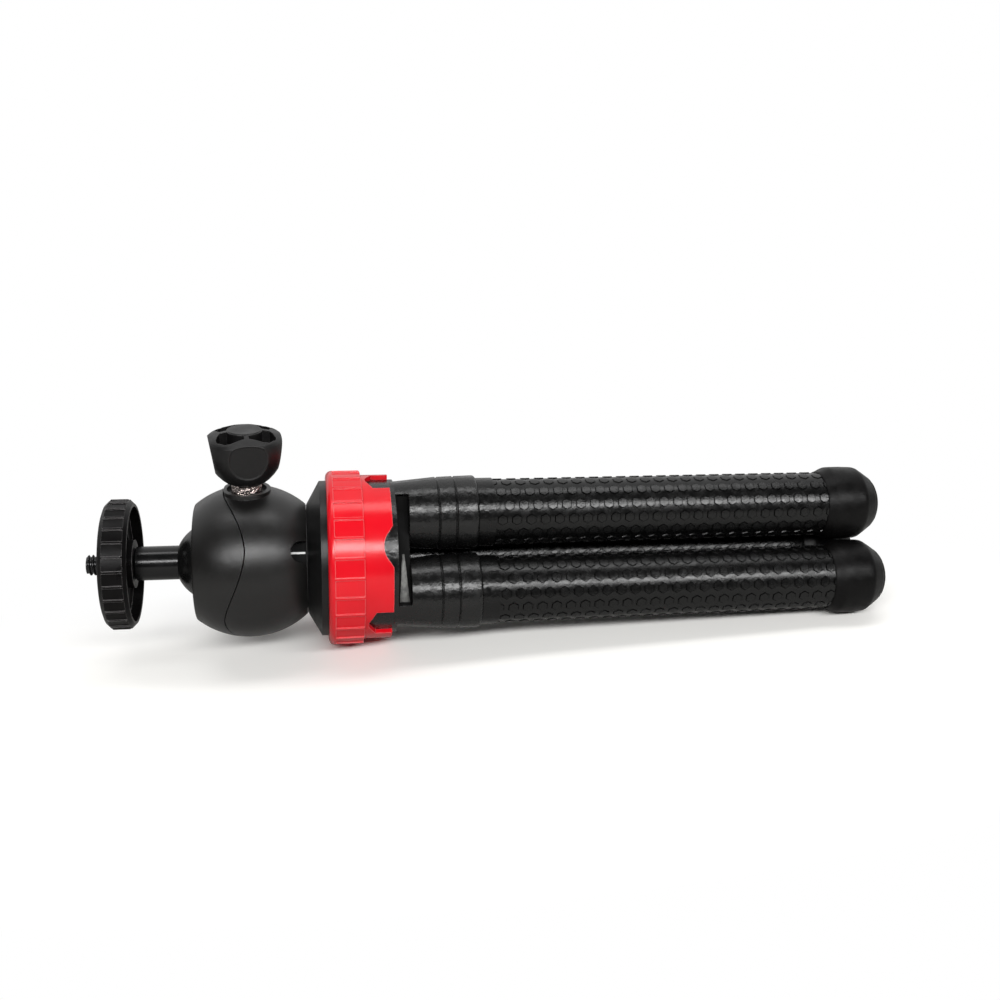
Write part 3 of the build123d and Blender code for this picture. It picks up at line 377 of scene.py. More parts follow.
# Its edge colour is a painted highlight along the brows of the flats.
KNOB = Finish("knob_matt_charcoal", (0.0040, 0.0037, 0.0038), Grain.MOULDED, 0.44, shine=0.42,
              mottle=0.12, relief=0.14, relief_mm=0.14, edge_mm=0.36, edge_glint=0.16)
DRUM = Finish("drum_satin_black", (0.003, 0.003, 0.003), Grain.MOULDED, 0.6, shine=0.10,
              relief=0.08, relief_mm=0.15)
CONE = Finish("cone_satin_black", (0.004, 0.004, 0.0042), Grain.MOULDED, 0.36, shine=0.4,
              mottle=0.15, patchiness=0.06, relief=0.12, relief_mm=0.16, edge_mm=0.25)
HUB = Finish("hub_semi_gloss_black", (0.0050, 0.0050, 0.0050), Grain.MOULDED, 0.25, shine=0.5,
             mottle=0.2, patchiness=0.09, patch_mm=2.2, relief=0.09, relief_mm=1.2, edge_mm=0.25)
COLLAR = Finish("collar_gloss_black", (0.0035, 0.0035, 0.0035), Grain.MOULDED, 0.22, shine=0.36,
                mottle=0.2, patchiness=0.08, patch_mm=2.0, relief=0.09, relief_mm=1.2,
                edge_mm=0.22)
# Its edge colour is a painted highlight: pale pink lines along the ribs and rims, for the lamps'
# glint.
RED = Finish("ring_bright_red", (0.72, 0.005, 0.014), Grain.MOULDED, 0.20, shine=0.43, mottle=0.04,
             mottle_mm=12.0, patchiness=0.03, relief=0.03, relief_mm=0.3, edge_mm=0.36, edge_glint=0.60,
             edge_glint_colour=(1.0, 0.34, 0.36))
WHITE = Finish("index_white", (0.85, 0.85, 0.84), Grain.MOULDED, 0.5, mottle=0.04, relief=0.08)
NYLON = Finish("seat_nylon", (0.62, 0.60, 0.54), Grain.MOULDED, 0.45, mottle=0.06, relief=0.10)
NICKEL = Finish("nickel_plate", (0.66, 0.57, 0.54), Grain.RUBBER, 0.17, metallic=1.0, mottle=0.15,
                relief=0.95, relief_mm=1.1, patchiness=0.08, patch_mm=1.5)
WIRE = Finish("drawn_aluminium", (0.70, 0.70, 0.72), Grain.DRAWN, 0.35, metallic=1.0, mottle=0.08,
              relief=0.15, relief_mm=0.15)
SLEEVE = Finish("sleeve_rubber", (0.0024, 0.0024, 0.0024), Grain.RUBBER, 0.25, shine=0.42,
                mottle=0.3, mottle_mm=2.5, patchiness=0.08, patch_mm=2.2, relief=0.09,
                relief_mm=0.5, dust=0.02)
FOOT = Finish("foot_soft_black", (0.0030, 0.0028, 0.0028), Grain.RUBBER, 0.38, shine=0.16,
              mottle=0.2, patchiness=0.08, patch_mm=3.0, relief=0.14, relief_mm=0.4, dust=0.02)


def deselect_all() -> None:
    """Deselects every object, so that an operator acts only on what comes next."""
    if bpy.context.object and bpy.context.object.mode != "OBJECT":
        bpy.ops.object.mode_set(mode="OBJECT")
    bpy.ops.object.select_all(action="DESELECT")


def pick(piece: Piece) -> None:
    """Makes one object the only one selected, and the active one.

    Args:
        piece: the object.
    """
    deselect_all()
    piece.select_set(True)
    bpy.context.view_layer.objects.active = piece


def edit(piece: Piece) -> None:
    """Opens a piece in edit mode, with all of it selected.

    Args:
        piece: the object.
    """
    pick(piece)
    bpy.ops.object.mode_set(mode="EDIT")
    bpy.ops.mesh.select_all(action="SELECT")


def close_up(touching: float = 0.0) -> None:
    """Turns all faces outwards and leaves edit mode.

    Args:
        touching: how near points are merged first, in millimetres; at 0 none are.
    """
    bpy.ops.mesh.select_all(action="SELECT")
    if touching > 0.0:
        bpy.ops.mesh.remove_doubles(threshold=touching)
    bpy.ops.mesh.normals_make_consistent(inside=False)
    bpy.ops.object.mode_set(mode="OBJECT")


def apply_modifiers(piece: Piece) -> None:
    """Applies every modifier of a piece, in order.

    Args:
        piece: the object.
    """
    pick(piece)
    for modifier in list(piece.modifiers):
        bpy.ops.object.modifier_apply(modifier=modifier.name)


def drawn(points: Sequence[Triple], closed: bool = False) -> Piece:
    """Draws points as a new piece.

    Args:
        points: the points in order, in millimetres.
        closed: whether they go round one face; otherwise edges join each to the next.

    Returns:
        The piece.
    """
    deselect_all()
    bpy.ops.mesh.primitive_plane_add(size=1.0)
    piece = bpy.context.object
    piece.data.clear_geometry()
    edges = [] if closed else [(i, i + 1) for i in range(len(points) - 1)]
    faces = [tuple(range(len(points)))] if closed else []
    piece.data.from_pydata(points, edges, faces)
    piece.data.update()
    return piece


def spin_round(piece: Piece, steps: int) -> None:
    """Spins a piece once round its own Z and closes what comes of it.

    Args:
        piece: the object, which holds an outline.
        steps: how many sides it gets.
    """
    edit(piece)
    bpy.ops.mesh.spin(steps=steps, angle=FULL_TURN, center=(0.0, 0.0, 0.0), axis=(0.0, 0.0, 1.0))
    close_up(SPIN_TOUCHING)


def turned(outline: Outline, steps: int) -> Piece:
    """Turns an outline into a closed round piece, as on a lathe.

    Args:
        outline: points by their distance from the axis and their height, in millimetres.
        steps: how many sides the piece gets.

    Returns:
        The piece.
    """
    piece = drawn([(reach, 0.0, height) for reach, height in outline])
    spin_round(piece, steps)
    return piece


def select_rims(piece: Piece) -> None:
    """Selects the open edges of a mesh, those with a face on one side only.

    Args:
        piece: the object, in object mode.
    """
    mesh = piece.data
    uses = [0] * len(mesh.edges)
    for loop in mesh.loops:
        uses[loop.edge_index] += 1
    for part in (*mesh.vertices, *mesh.polygons):
        part.select = False
    for edge in mesh.edges:
        edge.select = uses[edge.index] == 1
        if edge.select:
            for i in edge.vertices:
                mesh.vertices[i].select = True


def set_down(piece: Piece, name: str, placing: Matrix, finish: Finish,
             crease: float = 35.0) -> None:
    """Names a finished mesh, puts it in its place and dresses it.

    The object is left at the origin, and its place is in its mesh.

    Args:
        piece: the object, made in millimetres.
        name: what it is called from now on.
        placing: where it stands, in metres.
        finish: what it is made of.
        crease: the angle in degrees above which an edge stays sharp.
    """
    piece.name = piece.data.name = name
    piece.data.transform(Matrix.Scale(MM, 4))
    pick(piece)
    piece.matrix_world = placing
    bpy.ops.object.transform_apply(location=True, rotation=True, scale=True)
    bpy.ops.object.shade_smooth_by_angle(angle=radians(crease))
    piece.data.materials.clear()
    piece.data.materials.append(finish.material())
    LOG.info("%s: %d faces", name, len(piece.data.polygons))


@dataclass
class HexagonSleeves:
    """The rubber sleeves of the three legs, with staggered rows of raised hexagons.

    Each sleeve is made in stretches, one over each place where its leg bends. Their columns of
    hexagons are counted along the leg from the anchor.
    """

    radius: float = 10.3
    wall_radius: float = 8.7
    wall_cuts: int = 9
    start: float = 58.64
    end: float = 169.46
    rows: int = 14
    pitch: float = 32.0 / 7.0
    anchor: float = 88.0
    corners: int = 6
    corner_reach: float = 1.92
    ground: float = 0.06
    groove_wide: float = 0.11
    groove_deep: float = 0.20
    flank: float = 0.14
    relief: float = 0.27
    strips: tuple[float, ...] = (-1.15, 0.0, 1.15)
    crease: float = 30.0
    pivots: tuple[float, ...] = (72.0, 104.0, 136.0)
    bend_half: float = 14.0
    columns: tuple[tuple[int, int], ...] = ((-7, 0), (0, 7), (7, 18))
    stands_for: tuple[tuple[int, ...], ...] = ((0, 1), (2,), (3,))
    phases: dict[str, float] = field(default_factory=lambda: {"a": 19.4, "b": 9.4, "c": 3.0})

    def _row_width(self) -> float:
        """How wide one row is round the sleeve, in millimetres."""
        return FULL_TURN * self.radius / self.rows

    def _tile(self) -> Piece:
        """One cell of the pattern, laid flat: a raised hexagon and the ground round it.

        X runs round the sleeve, Z along it and -Y away from its axis. The cell is cut into strips
        across X, so that it can be rolled up smoothly.

        Returns:
            The cell as a new object.
        """
        deselect_all()
        bpy.ops.mesh.primitive_circle_add(
            vertices=self.corners, radius=self.corner_reach, fill_type="NGON",
            rotation=(pi / 2, pi / 2, 0.0), location=(0.0, 0.0, 0.0))
        tile = bpy.context.object
        bpy.ops.object.transform_apply(location=False, rotation=True, scale=False)
        edit(tile)
        bpy.ops.mesh.inset(thickness=self.ground)
        bpy.ops.mesh.inset(thickness=self.groove_wide, depth=-self.groove_deep)
        bpy.ops.mesh.inset(thickness=self.flank, depth=self.groove_deep + self.relief)
        bpy.ops.object.mode_set(mode="OBJECT")
        self._square_up(tile)
        bpy.ops.object.mode_set(mode="EDIT")
        for strip in self.strips:
            bpy.ops.mesh.select_all(action="SELECT")
            bpy.ops.mesh.bisect(plane_co=(strip, 0.0, 0.0), plane_no=(1.0, 0.0, 0.0))
        bpy.ops.object.mode_set(mode="OBJECT")
        return tile

    def _square_up(self, tile: Piece) -> None:
        """Draws the cell's outermost points, one for each corner, out to the cell's oblong.

        Args:
            tile: the cell, with its hexagon raised.
        """
        half_row, half_pitch = self._row_width() / 2, self.pitch / 2
        outer = sorted(tile.data.vertices, key=lambda v: -(v.co.x**2 + v.co.z**2))
        for vertex in outer[:self.corners]:
            across = copysign(half_row, vertex.co.x)
            midway = abs(vertex.co.z) < TOUCHING
            vertex.co = (across, 0.0, 0.0 if midway else copysign(half_pitch, vertex.co.z))

    def _repeat(self, piece: Piece, count: int, step: Triple) -> None:
        """Repeats a piece in a row, and merges the copies where they touch.

        Args:
            piece: the object, which is left picked.
            count: how many there are in the row.
            step: how far it is from each to the next, in millimetres.
        """
        array = piece.modifiers.new("row", "ARRAY")
        array.use_relative_offset, array.use_constant_offset = False, True
        array.constant_offset_displace = step
        array.count = count
        array.use_merge_vertices, array.merge_threshold = True, TOUCHING
        apply_modifiers(piece)

    def _sheet(self, first: int, last: int) -> Piece:
        """The flat sheet of cells for one stretch, every second row shifted by half a cell.

        Args:
            first: the first column.
            last: the column after the last.

        Returns:
            The sheet, still flat, with its stations measured from the anchor.
        """
        width = self._row_width()
        sheet = self._tile()
        sheet.data.transform(Matrix.Translation((0.0, 0.0, (first + 0.5) * self.pitch)))
        self._repeat(sheet, last - first, (0.0, 0.0, self.pitch))
        shift = (width, 0.0, self.pitch / 2)
        bpy.ops.object.duplicate_move(TRANSFORM_OT_translate={"value": shift})
        bpy.ops.object.transform_apply(location=True, rotation=False, scale=False)
        sheet.select_set(True)
        bpy.context.view_layer.objects.active = sheet
        bpy.ops.object.join()
        self._repeat(sheet, self.rows // 2, (2.0 * width, 0.0, 0.0))
        return sheet

    def _roll(self, sheet: Piece) -> None:
        """Rolls the flat sheet up round the leg's line and closes its seam.

        Args:
            sheet: the flat sheet.
        """
        width = self._row_width()
        for vertex in sheet.data.vertices:
            angle = (vertex.co.x / width - 0.5 * (self.rows - 1)) * FULL_TURN / self.rows
            reach = self.radius - vertex.co.y
            vertex.co = (reach * cos(angle), reach * sin(angle), vertex.co.z)
        edit(sheet)
        bpy.ops.mesh.remove_doubles(threshold=TOUCHING)
        bpy.ops.object.mode_set(mode="OBJECT")

    def _trim(self, sheet: Piece, station: float, keep_after: bool) -> None:
        """Cuts the rolled sheet square at a station, as at the collar or the foot.

        Args:
            sheet: the rolled sheet.
            station: where it is cut, in millimetres along the axis.
            keep_after: whether the side towards the foot stays, and otherwise the other.
        """
        edit(sheet)
        bpy.ops.mesh.bisect(plane_co=(0.0, 0.0, station - self.anchor), plane_no=(0.0, 0.0, 1.0),
                            clear_inner=keep_after, clear_outer=not keep_after)
        bpy.ops.object.mode_set(mode="OBJECT")

    def _line_inside(self, sheet: Piece) -> None:
        """Gives the sleeve its thickness: turned-in ends, and an inner wall between them.

        Args:
            sheet: the rolled and trimmed sheet.
        """
        select_rims(sheet)
        bpy.ops.object.mode_set(mode="EDIT")
        bpy.ops.mesh.select_mode(type="EDGE")
        bpy.ops.mesh.extrude_edges_move()
        bpy.ops.object.mode_set(mode="OBJECT")
        for vertex in sheet.data.vertices:
            if vertex.select:
                reach = sqrt(vertex.co.x**2 + vertex.co.y**2)
                vertex.co.x *= self.wall_radius / reach
                vertex.co.y *= self.wall_radius / reach
        bpy.ops.object.mode_set(mode="EDIT")
        bpy.ops.mesh.bridge_edge_loops(number_cuts=self.wall_cuts)
        close_up()

    def _stretch(self, letter: str, angle: float, index: int) -> Piece:
        """One stretch of a leg's sleeve, over one of the leg's joints.

        Args:
            letter: the leg's letter.
            angle: the leg's angle round the tripod's axis, in degrees.
            index: which stretch it is, counted from 0 at the hub.

        Returns:
            The stretch, in its place.
        """
        sleeve = self._sheet(*self.columns[index])
        self._roll(sleeve)
        if index == 0:
            self._trim(sleeve, self.start, keep_after=True)
        if index == len(self.columns) - 1:
            self._trim(sleeve, self.end, keep_after=False)
        self._line_inside(sleeve)
        sleeve.data.transform(Matrix.Rotation(radians(self.phases[letter]), 4, "Z"))
        set_down(sleeve, f"sleeve_skin_{letter}_{index + 1}", LINE.placing(station=self.anchor),
                 SLEEVE, self.crease)
        shift = LINE.outwards(angle) * LINE.leg_circle * MM
        sleeve.data.transform(Matrix.Translation(shift))
        return sleeve

    def build(self) -> None:
        """Builds the sleeves of all legs and hides the CAD sleeves that they stand for."""
        for letter, angle in LINE.legs:
            for index, pivot in enumerate(self.pivots):
                sleeve = self._stretch(letter, angle, index)
                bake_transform(sleeve)
                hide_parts(*(f"sleeve_{letter}_{k}" for k in self.stands_for[index]))


@dataclass
class CameraScrew:
    """The quarter-inch camera screw, with its real thread, from its tip into the stem.

    The ridge says where along one pitch the thread's flank starts, where its crest starts and
    ends, and where the other flank ends.
    """

    radius: float = 3.175
    core: float = 2.56
    pitch: float = 1.27
    ridge: tuple[float, ...] = (0.16, 0.54, 0.73, 1.11)
    spare_turns: int = 3
    sides: int = 40
    touching: float = 0.002
    tip: float = -66.1
    root: float = -44.0
    stem_face: float = -51.95
    bore: float = 2.95
    chamfer: float = 0.55
    crease: float = 28.0

    def _thread(self) -> Piece:
        """Winds the thread's outline along the screw, past both of its ends.

        Returns:
            The thread, with the screw's tip at 0.
        """
        rise, crest, fall, foot = self.ridge
        outline = ((self.core, 0.0), (self.core, rise), (self.radius, crest), (self.radius, fall),
                   (self.core, foot), (self.core, self.pitch))
        screw = drawn([(reach, 0.0, height) for reach, height in outline])
        winding = screw.modifiers.new("winding", "SCREW")
        winding.angle, winding.screw_offset = FULL_TURN, self.pitch
        winding.iterations = int((self.root - self.tip) / self.pitch) + self.spare_turns
        winding.steps = winding.render_steps = self.sides
        winding.use_merge_vertices, winding.merge_threshold = True, self.touching
        winding.use_smooth_shade = False
        apply_modifiers(screw)
        screw.data.transform(Matrix.Translation((0.0, 0.0, -self.pitch)))
        return screw

    def _cut_down(self, screw: Piece) -> None:
        """Takes the chamfer off the tip, and the crests off the part inside the stem.

        Args:
            screw: the thread, trimmed to its length.
        """
        for vertex in screw.data.vertices:
            reach = sqrt(vertex.co.x**2 + vertex.co.y**2)
            allowed = self.radius - max(self.chamfer - vertex.co.z, 0.0)
            if vertex.co.z > self.stem_face - self.tip:
                allowed = self.bore
            if reach > allowed:
                vertex.co.x *= allowed / reach
                vertex.co.y *= allowed / reach

    def build(self) -> None:
        """Winds the thread, trims it to the screw's length and ties it to the stem."""
        screw = self._thread()
        edit(screw)
        bpy.ops.mesh.remove_doubles(threshold=self.touching)
        for station, inner in ((0.0, True), (self.root - self.tip, False)):
            bpy.ops.mesh.select_all(action="SELECT")
            bpy.ops.mesh.bisect(plane_co=(0.0, 0.0, station), plane_no=(0.0, 0.0, 1.0),
                                use_fill=True, clear_inner=inner, clear_outer=not inner)
        close_up()
        self._cut_down(screw)
        set_down(screw, "camera_screw_thread", LINE.placing(station=self.tip), BLACKED, self.crease)
        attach(screw, "stem")
        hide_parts("camera_stud")


@dataclass
class NeckWasher:
    """The thin rubber washer that fills the running gap between the housing's neck and the cone."""

    inner: float = 14.4
    outer: float = 17.0
    front: float = 0.05
    back: float = 0.27
    sides: int = 72

    def build(self) -> None:
        """Spins the washer's section round and ties the washer to the shoulder."""
        deselect_all()
        centre = ((self.inner + self.outer) / 2, 0.0, (self.front + self.back) / 2)
        bpy.ops.mesh.primitive_plane_add(size=1.0, location=centre, rotation=(pi / 2, 0.0, 0.0))
        washer = bpy.context.object
        washer.scale = (self.outer - self.inner, self.back - self.front, 1.0)
        bpy.ops.object.transform_apply(location=True, rotation=True, scale=True)
        spin_round(washer, self.sides)
        set_down(washer, "neck_washer", LINE.placing(), PAD)
        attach(washer, "shoulder")


@dataclass
class ClampKnob:
    """The four-sided clamp knob: a ball cut by four finger flats, with pockets round its cap.

    Heights are measured from the tripod's axis, and angles go round the knob in degrees.
    """

    station: float = -17.5
    sides: int = 4
    round_sides: int = 80
    crease: float = 20.0
    phase: float = 8.0
    flat_reach: float = 10.05
    flat_height: float = 36.0
    flat_lean: float = 8.5
    flat_match: float = 0.9999
    brow: float = 0.45
    brow_deep: float = 0.22
    rib_half: float = 0.65
    pocket_inner: float = 5.3
    pocket_edge: Outline = ((7.3, 0.65), (8.2, 2.8), (8.8, 4.9), (8.5, 6.4))
    pocket_curve: tuple[float, ...] = (0.42, 0.21, 0.0, -0.21, -0.42)
    pocket_floor: float = 33.5
    pocket_top: float = 43.5
    outline: Outline = (
        (0.0, 26.55), (5.7, 26.55), (6.2, 26.75), (7.4, 27.75), (8.8, 29.3), (9.95, 31.0),
        (10.8, 33.0), (11.4, 35.0), (11.7, 37.0), (11.75, 38.8), (11.6, 39.8), (11.2, 40.5),
        (10.4, 41.15), (8.4, 41.95), (5.15, 42.6), (4.95, 42.88), (0.0, 42.98),
    )

    def _cut_flat(self, body: Piece, angle: float) -> None:
        """Cuts one finger flat and sinks it behind its brow.

        Args:
            body: the knob so far.
            angle: where the flat faces.
        """
        lean, across, along = radians(self.flat_lean), cos(radians(angle)), sin(radians(angle))
        facing = Vector((across * cos(lean), along * cos(lean), -sin(lean)))
        middle = Vector((across * self.flat_reach, along * self.flat_reach, self.flat_height))
        edit(body)
        bpy.ops.mesh.select_mode(type="FACE")
        bpy.ops.mesh.bisect(plane_co=middle, plane_no=facing, use_fill=True, clear_outer=True)
        bpy.ops.mesh.select_all(action="DESELECT")
        bpy.ops.object.mode_set(mode="OBJECT")
        cut = [face for face in body.data.polygons if face.normal.dot(facing) > self.flat_match]
        max(cut, key=lambda face: face.area).select = True
        bpy.ops.object.mode_set(mode="EDIT")
        bpy.ops.mesh.inset(thickness=self.brow, depth=-self.brow_deep)
        bpy.ops.object.mode_set(mode="OBJECT")

    def _pocket_tool(self, angle: float) -> Piece:
        """The block that takes one pocket out, between the ribs of two neighbouring flats.

        Args:
            angle: the direction of the pocket's middle.

        Returns:
            The block.
        """
        half = pi / self.sides
        inner = sqrt(self.pocket_inner**2 - self.rib_half**2)
        edge = ((inner, self.rib_half), *self.pocket_edge)
        ring = []
        for side, points in ((-1.0, edge), (1.0, edge[::-1])):
            along = Vector((cos(half), side * sin(half)))
            aside = Vector((sin(half), -side * cos(half)))
            ring += [along * reach + aside * width for reach, width in points]
        ring += [Vector((cos(a), sin(a))) * self.pocket_inner for a in self.pocket_curve]
        block = drawn([(p.x, p.y, self.pocket_floor) for p in ring], closed=True)
        edit(block)
        rise = (0.0, 0.0, self.pocket_top - self.pocket_floor)
        bpy.ops.mesh.extrude_region_move(TRANSFORM_OT_translate={"value": rise})
        close_up()
        block.data.transform(Matrix.Rotation(radians(angle), 4, "Z"))
        return block

    def build(self) -> None:
        """Makes the knob, stands it on its bolt and ties it to the clamp."""
        knob = turned(self.outline, self.round_sides)
        step = 360.0 / self.sides
        for k in range(self.sides):
            self._cut_flat(knob, self.phase + step * k)
        for k in range(self.sides):
            block = self._pocket_tool(self.phase + step * (k + 0.5))
            cut = knob.modifiers.new("pocket", "BOOLEAN")
            cut.operation, cut.solver, cut.object = "DIFFERENCE", "EXACT", block
            apply_modifiers(knob)
            bpy.data.objects.remove(block)
        set_down(knob, "knob_shell", LINE.standing(self.station), KNOB, self.crease)
        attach(knob, "clamp_knob")
        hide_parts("knob")


@dataclass
class RubberFeet:
    """The three rubber feet: a boot that flares over the leg's end, and a sole let into its dome.

    The outline and the bore give a distance from the leg's middle line and a station each.
    """

    sides: int = 64
    crease: float = 30.0
    outline: Outline = (
        (2.75, 169.52), (10.55, 169.52), (10.75, 169.7), (11.0, 170.4), (11.4, 171.3),
        (11.85, 172.2), (12.08, 172.8), (12.16, 173.6), (12.19, 175.0), (12.2, 176.6),
        (12.2, 178.0), (12.12, 179.4), (12.06, 181.0), (11.98, 182.1), (11.8, 182.7), (11.4, 183.3),
        (10.85, 184.2), (10.1, 185.3), (9.35, 186.4), (8.75, 187.3), (8.55, 187.4), (8.4, 187.3),
        (8.25, 187.45), (8.2, 187.75), (7.9, 188.1), (6.9, 188.75), (5.4, 189.35), (3.6, 189.78),
        (1.8, 189.95), (0.0, 190.0),
    )
    bore: Outline = ((0.0, 187.0), (5.7, 187.0), (5.7, 170.4), (2.75, 170.4))

    def build(self) -> None:
        """Turns one boot and fits a copy of it to each leg."""
        pattern = turned((*self.outline, *self.bore, self.outline[0]), self.sides)
        for letter, angle in LINE.legs:
            foot = bpy.data.objects.new(f"foot_boot_{letter}", pattern.data.copy())
            bpy.context.scene.collection.objects.link(foot)
            set_down(foot, foot.name, LINE.placing(angle, LINE.leg_circle), FOOT, self.crease)
            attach(foot, f"leg_{letter}_3")
            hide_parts(f"foot_{letter}", f"foot_sole_{letter}")
        bpy.data.objects.remove(pattern)


@dataclass
class SlotLinings:
    """What shows in the slots between the leg sockets: a dark felt, painted shade that stands in
    for the slot's deep shadow, and a bare metal stay on it.
    """

    angles: tuple[float, ...] = (60.0, 180.0, 300.0)
    station: float = 29.35
    rib_top: float = 13.5
    width: float = 4.2
    reach: float = 17.0
    clearance: float = 0.05
    shade_felt_thick: float = 0.35
    stay_thick: float = 0.5
    stay_start: float = 1.2
    stay_end: float = 16.0
    stay_narrow: float = 0.7
    stay_wide: float = 3.1
    rim: float = 0.08
    rim_steps: int = 2

    def _plate(self, ends: Span, low: float, thick: float, widths: Span) -> Piece:
        """A thin plate that widens away from the slot's rib, with its rim broken.

        Args:
            ends: where it starts and ends, in millimetres from the slot's middle.
            low: the height of its underside above the axis.
            thick: how thick it is.
            widths: how wide it is at its two ends.

        Returns:
            The plate: X outwards, Y across the legs, Z towards the feet.
        """
        start, end = ends
        deselect_all()
        bpy.ops.mesh.primitive_cube_add(
            size=1.0, location=(low + thick / 2, (start + end) / 2, 0.0),
            scale=(thick, abs(end - start), 1.0))
        plate = bpy.context.object
        bpy.ops.object.transform_apply(location=True, rotation=False, scale=True)
        for vertex in plate.data.vertices:
            width = widths[0] if abs(vertex.co.y - start) < TOUCHING else widths[1]
            vertex.co.z = copysign(width / 2, vertex.co.z)
        edit(plate)
        bpy.ops.mesh.bevel(offset=self.rim, segments=self.rim_steps, affect="EDGES")
        close_up()
        return plate

    def build(self) -> None:
        """Lays a dark felt, as painted shade, and a stay over the rib of each slot."""
        shade_felt_low = self.rib_top + self.clearance
        stay_low = shade_felt_low + self.shade_felt_thick + self.clearance
        for number, angle in enumerate(self.angles, start=1):
            # Painted shade: the dark felt plate stands in for the deep shadow in each slot.
            shade_felt = self._plate((-self.reach, self.reach), shade_felt_low, self.shade_felt_thick,
                               (self.width, self.width))
            stay = self._plate((self.stay_start, self.stay_end), stay_low, self.stay_thick,
                               (self.stay_narrow, self.stay_wide))
            for plate, kind, finish in ((shade_felt, "shade_felt", DRUM), (stay, "stay", STAY)):
                set_down(plate, f"slot_{kind}_{number}", LINE.placing(angle, 0.0, self.station),
                         finish)
                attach(plate, "shoulder")


@dataclass
class CadDressing:
    """Which finish each CAD node gets, by its whole name or by how its name starts."""

    plain: dict[str, Finish] = field(default_factory=lambda: {
        "camera_stud": ZINC, "locking_disc": DISC, "disc_insert": BLACKED, "disc_pad": PAD,
        "stem": STEM, "ball": BALL, "housing_cap": HOUSING, "housing_body": HOUSING,
        "housing_screws": ZINC, "ball_seat": NYLON, "clamp_pin": ZINC, "knob": KNOB,
        "knob_bolt": ZINC, "knob_bush": NICKEL, "pan_drum": DRUM, "pan_index_mark": WHITE,
        "pan_washer": ZINC, "pan_screw": ZINC, "shoulder_cap": CONE, "collar_ring": RED, "hub": HUB,
        "hub_screws": ZINC,
    })
    by_start: tuple[tuple[str, Finish], ...] = (
        ("leg_collar", COLLAR), ("sleeve", SLEEVE), ("core", WIRE), ("foot_plug", WIRE),
        ("foot", FOOT),
    )

    def finish_of(self, node: str) -> Finish:
        """Finds the finish of a node.

        Args:
            node: the node's name.

        Returns:
            The finish.
        """
        if node in self.plain:
            return self.plain[node]
        return next(finish for start, finish in self.by_start if node.startswith(start))

    def dress(self, nodes: dict[str, Piece]) -> None:
        """Gives each CAD node its finish.

        Args:
            nodes: the nodes' objects by name.
        """
        for name, node in nodes.items():
            finish = self.finish_of(name)
            node.data.materials.clear()
            node.data.materials.append(finish.material())
            LOG.info("%s: %s", name, finish.name)


@dataclass(frozen=True)
class SoftBox:
    """An oblong lamp: its place and its size in metres, and its power in watts."""

    name: str
    place: Triple
    size: Span
    power: float

    def hang(self, aim: Vector) -> None:
        """Hangs the lamp, turned to a point.

        Args:
            aim: the point, in metres.
        """
        data = bpy.data.lights.new(self.name, "AREA")
        data.shape, data.energy = "RECTANGLE", self.power
        data.size, data.size_y = self.size
        lamp = bpy.data.objects.new(self.name, data)
        bpy.context.scene.collection.objects.link(lamp)
        lamp.location = self.place
        lamp.rotation_euler = (aim - Vector(self.place)).to_track_quat("-Z", "Y").to_euler()


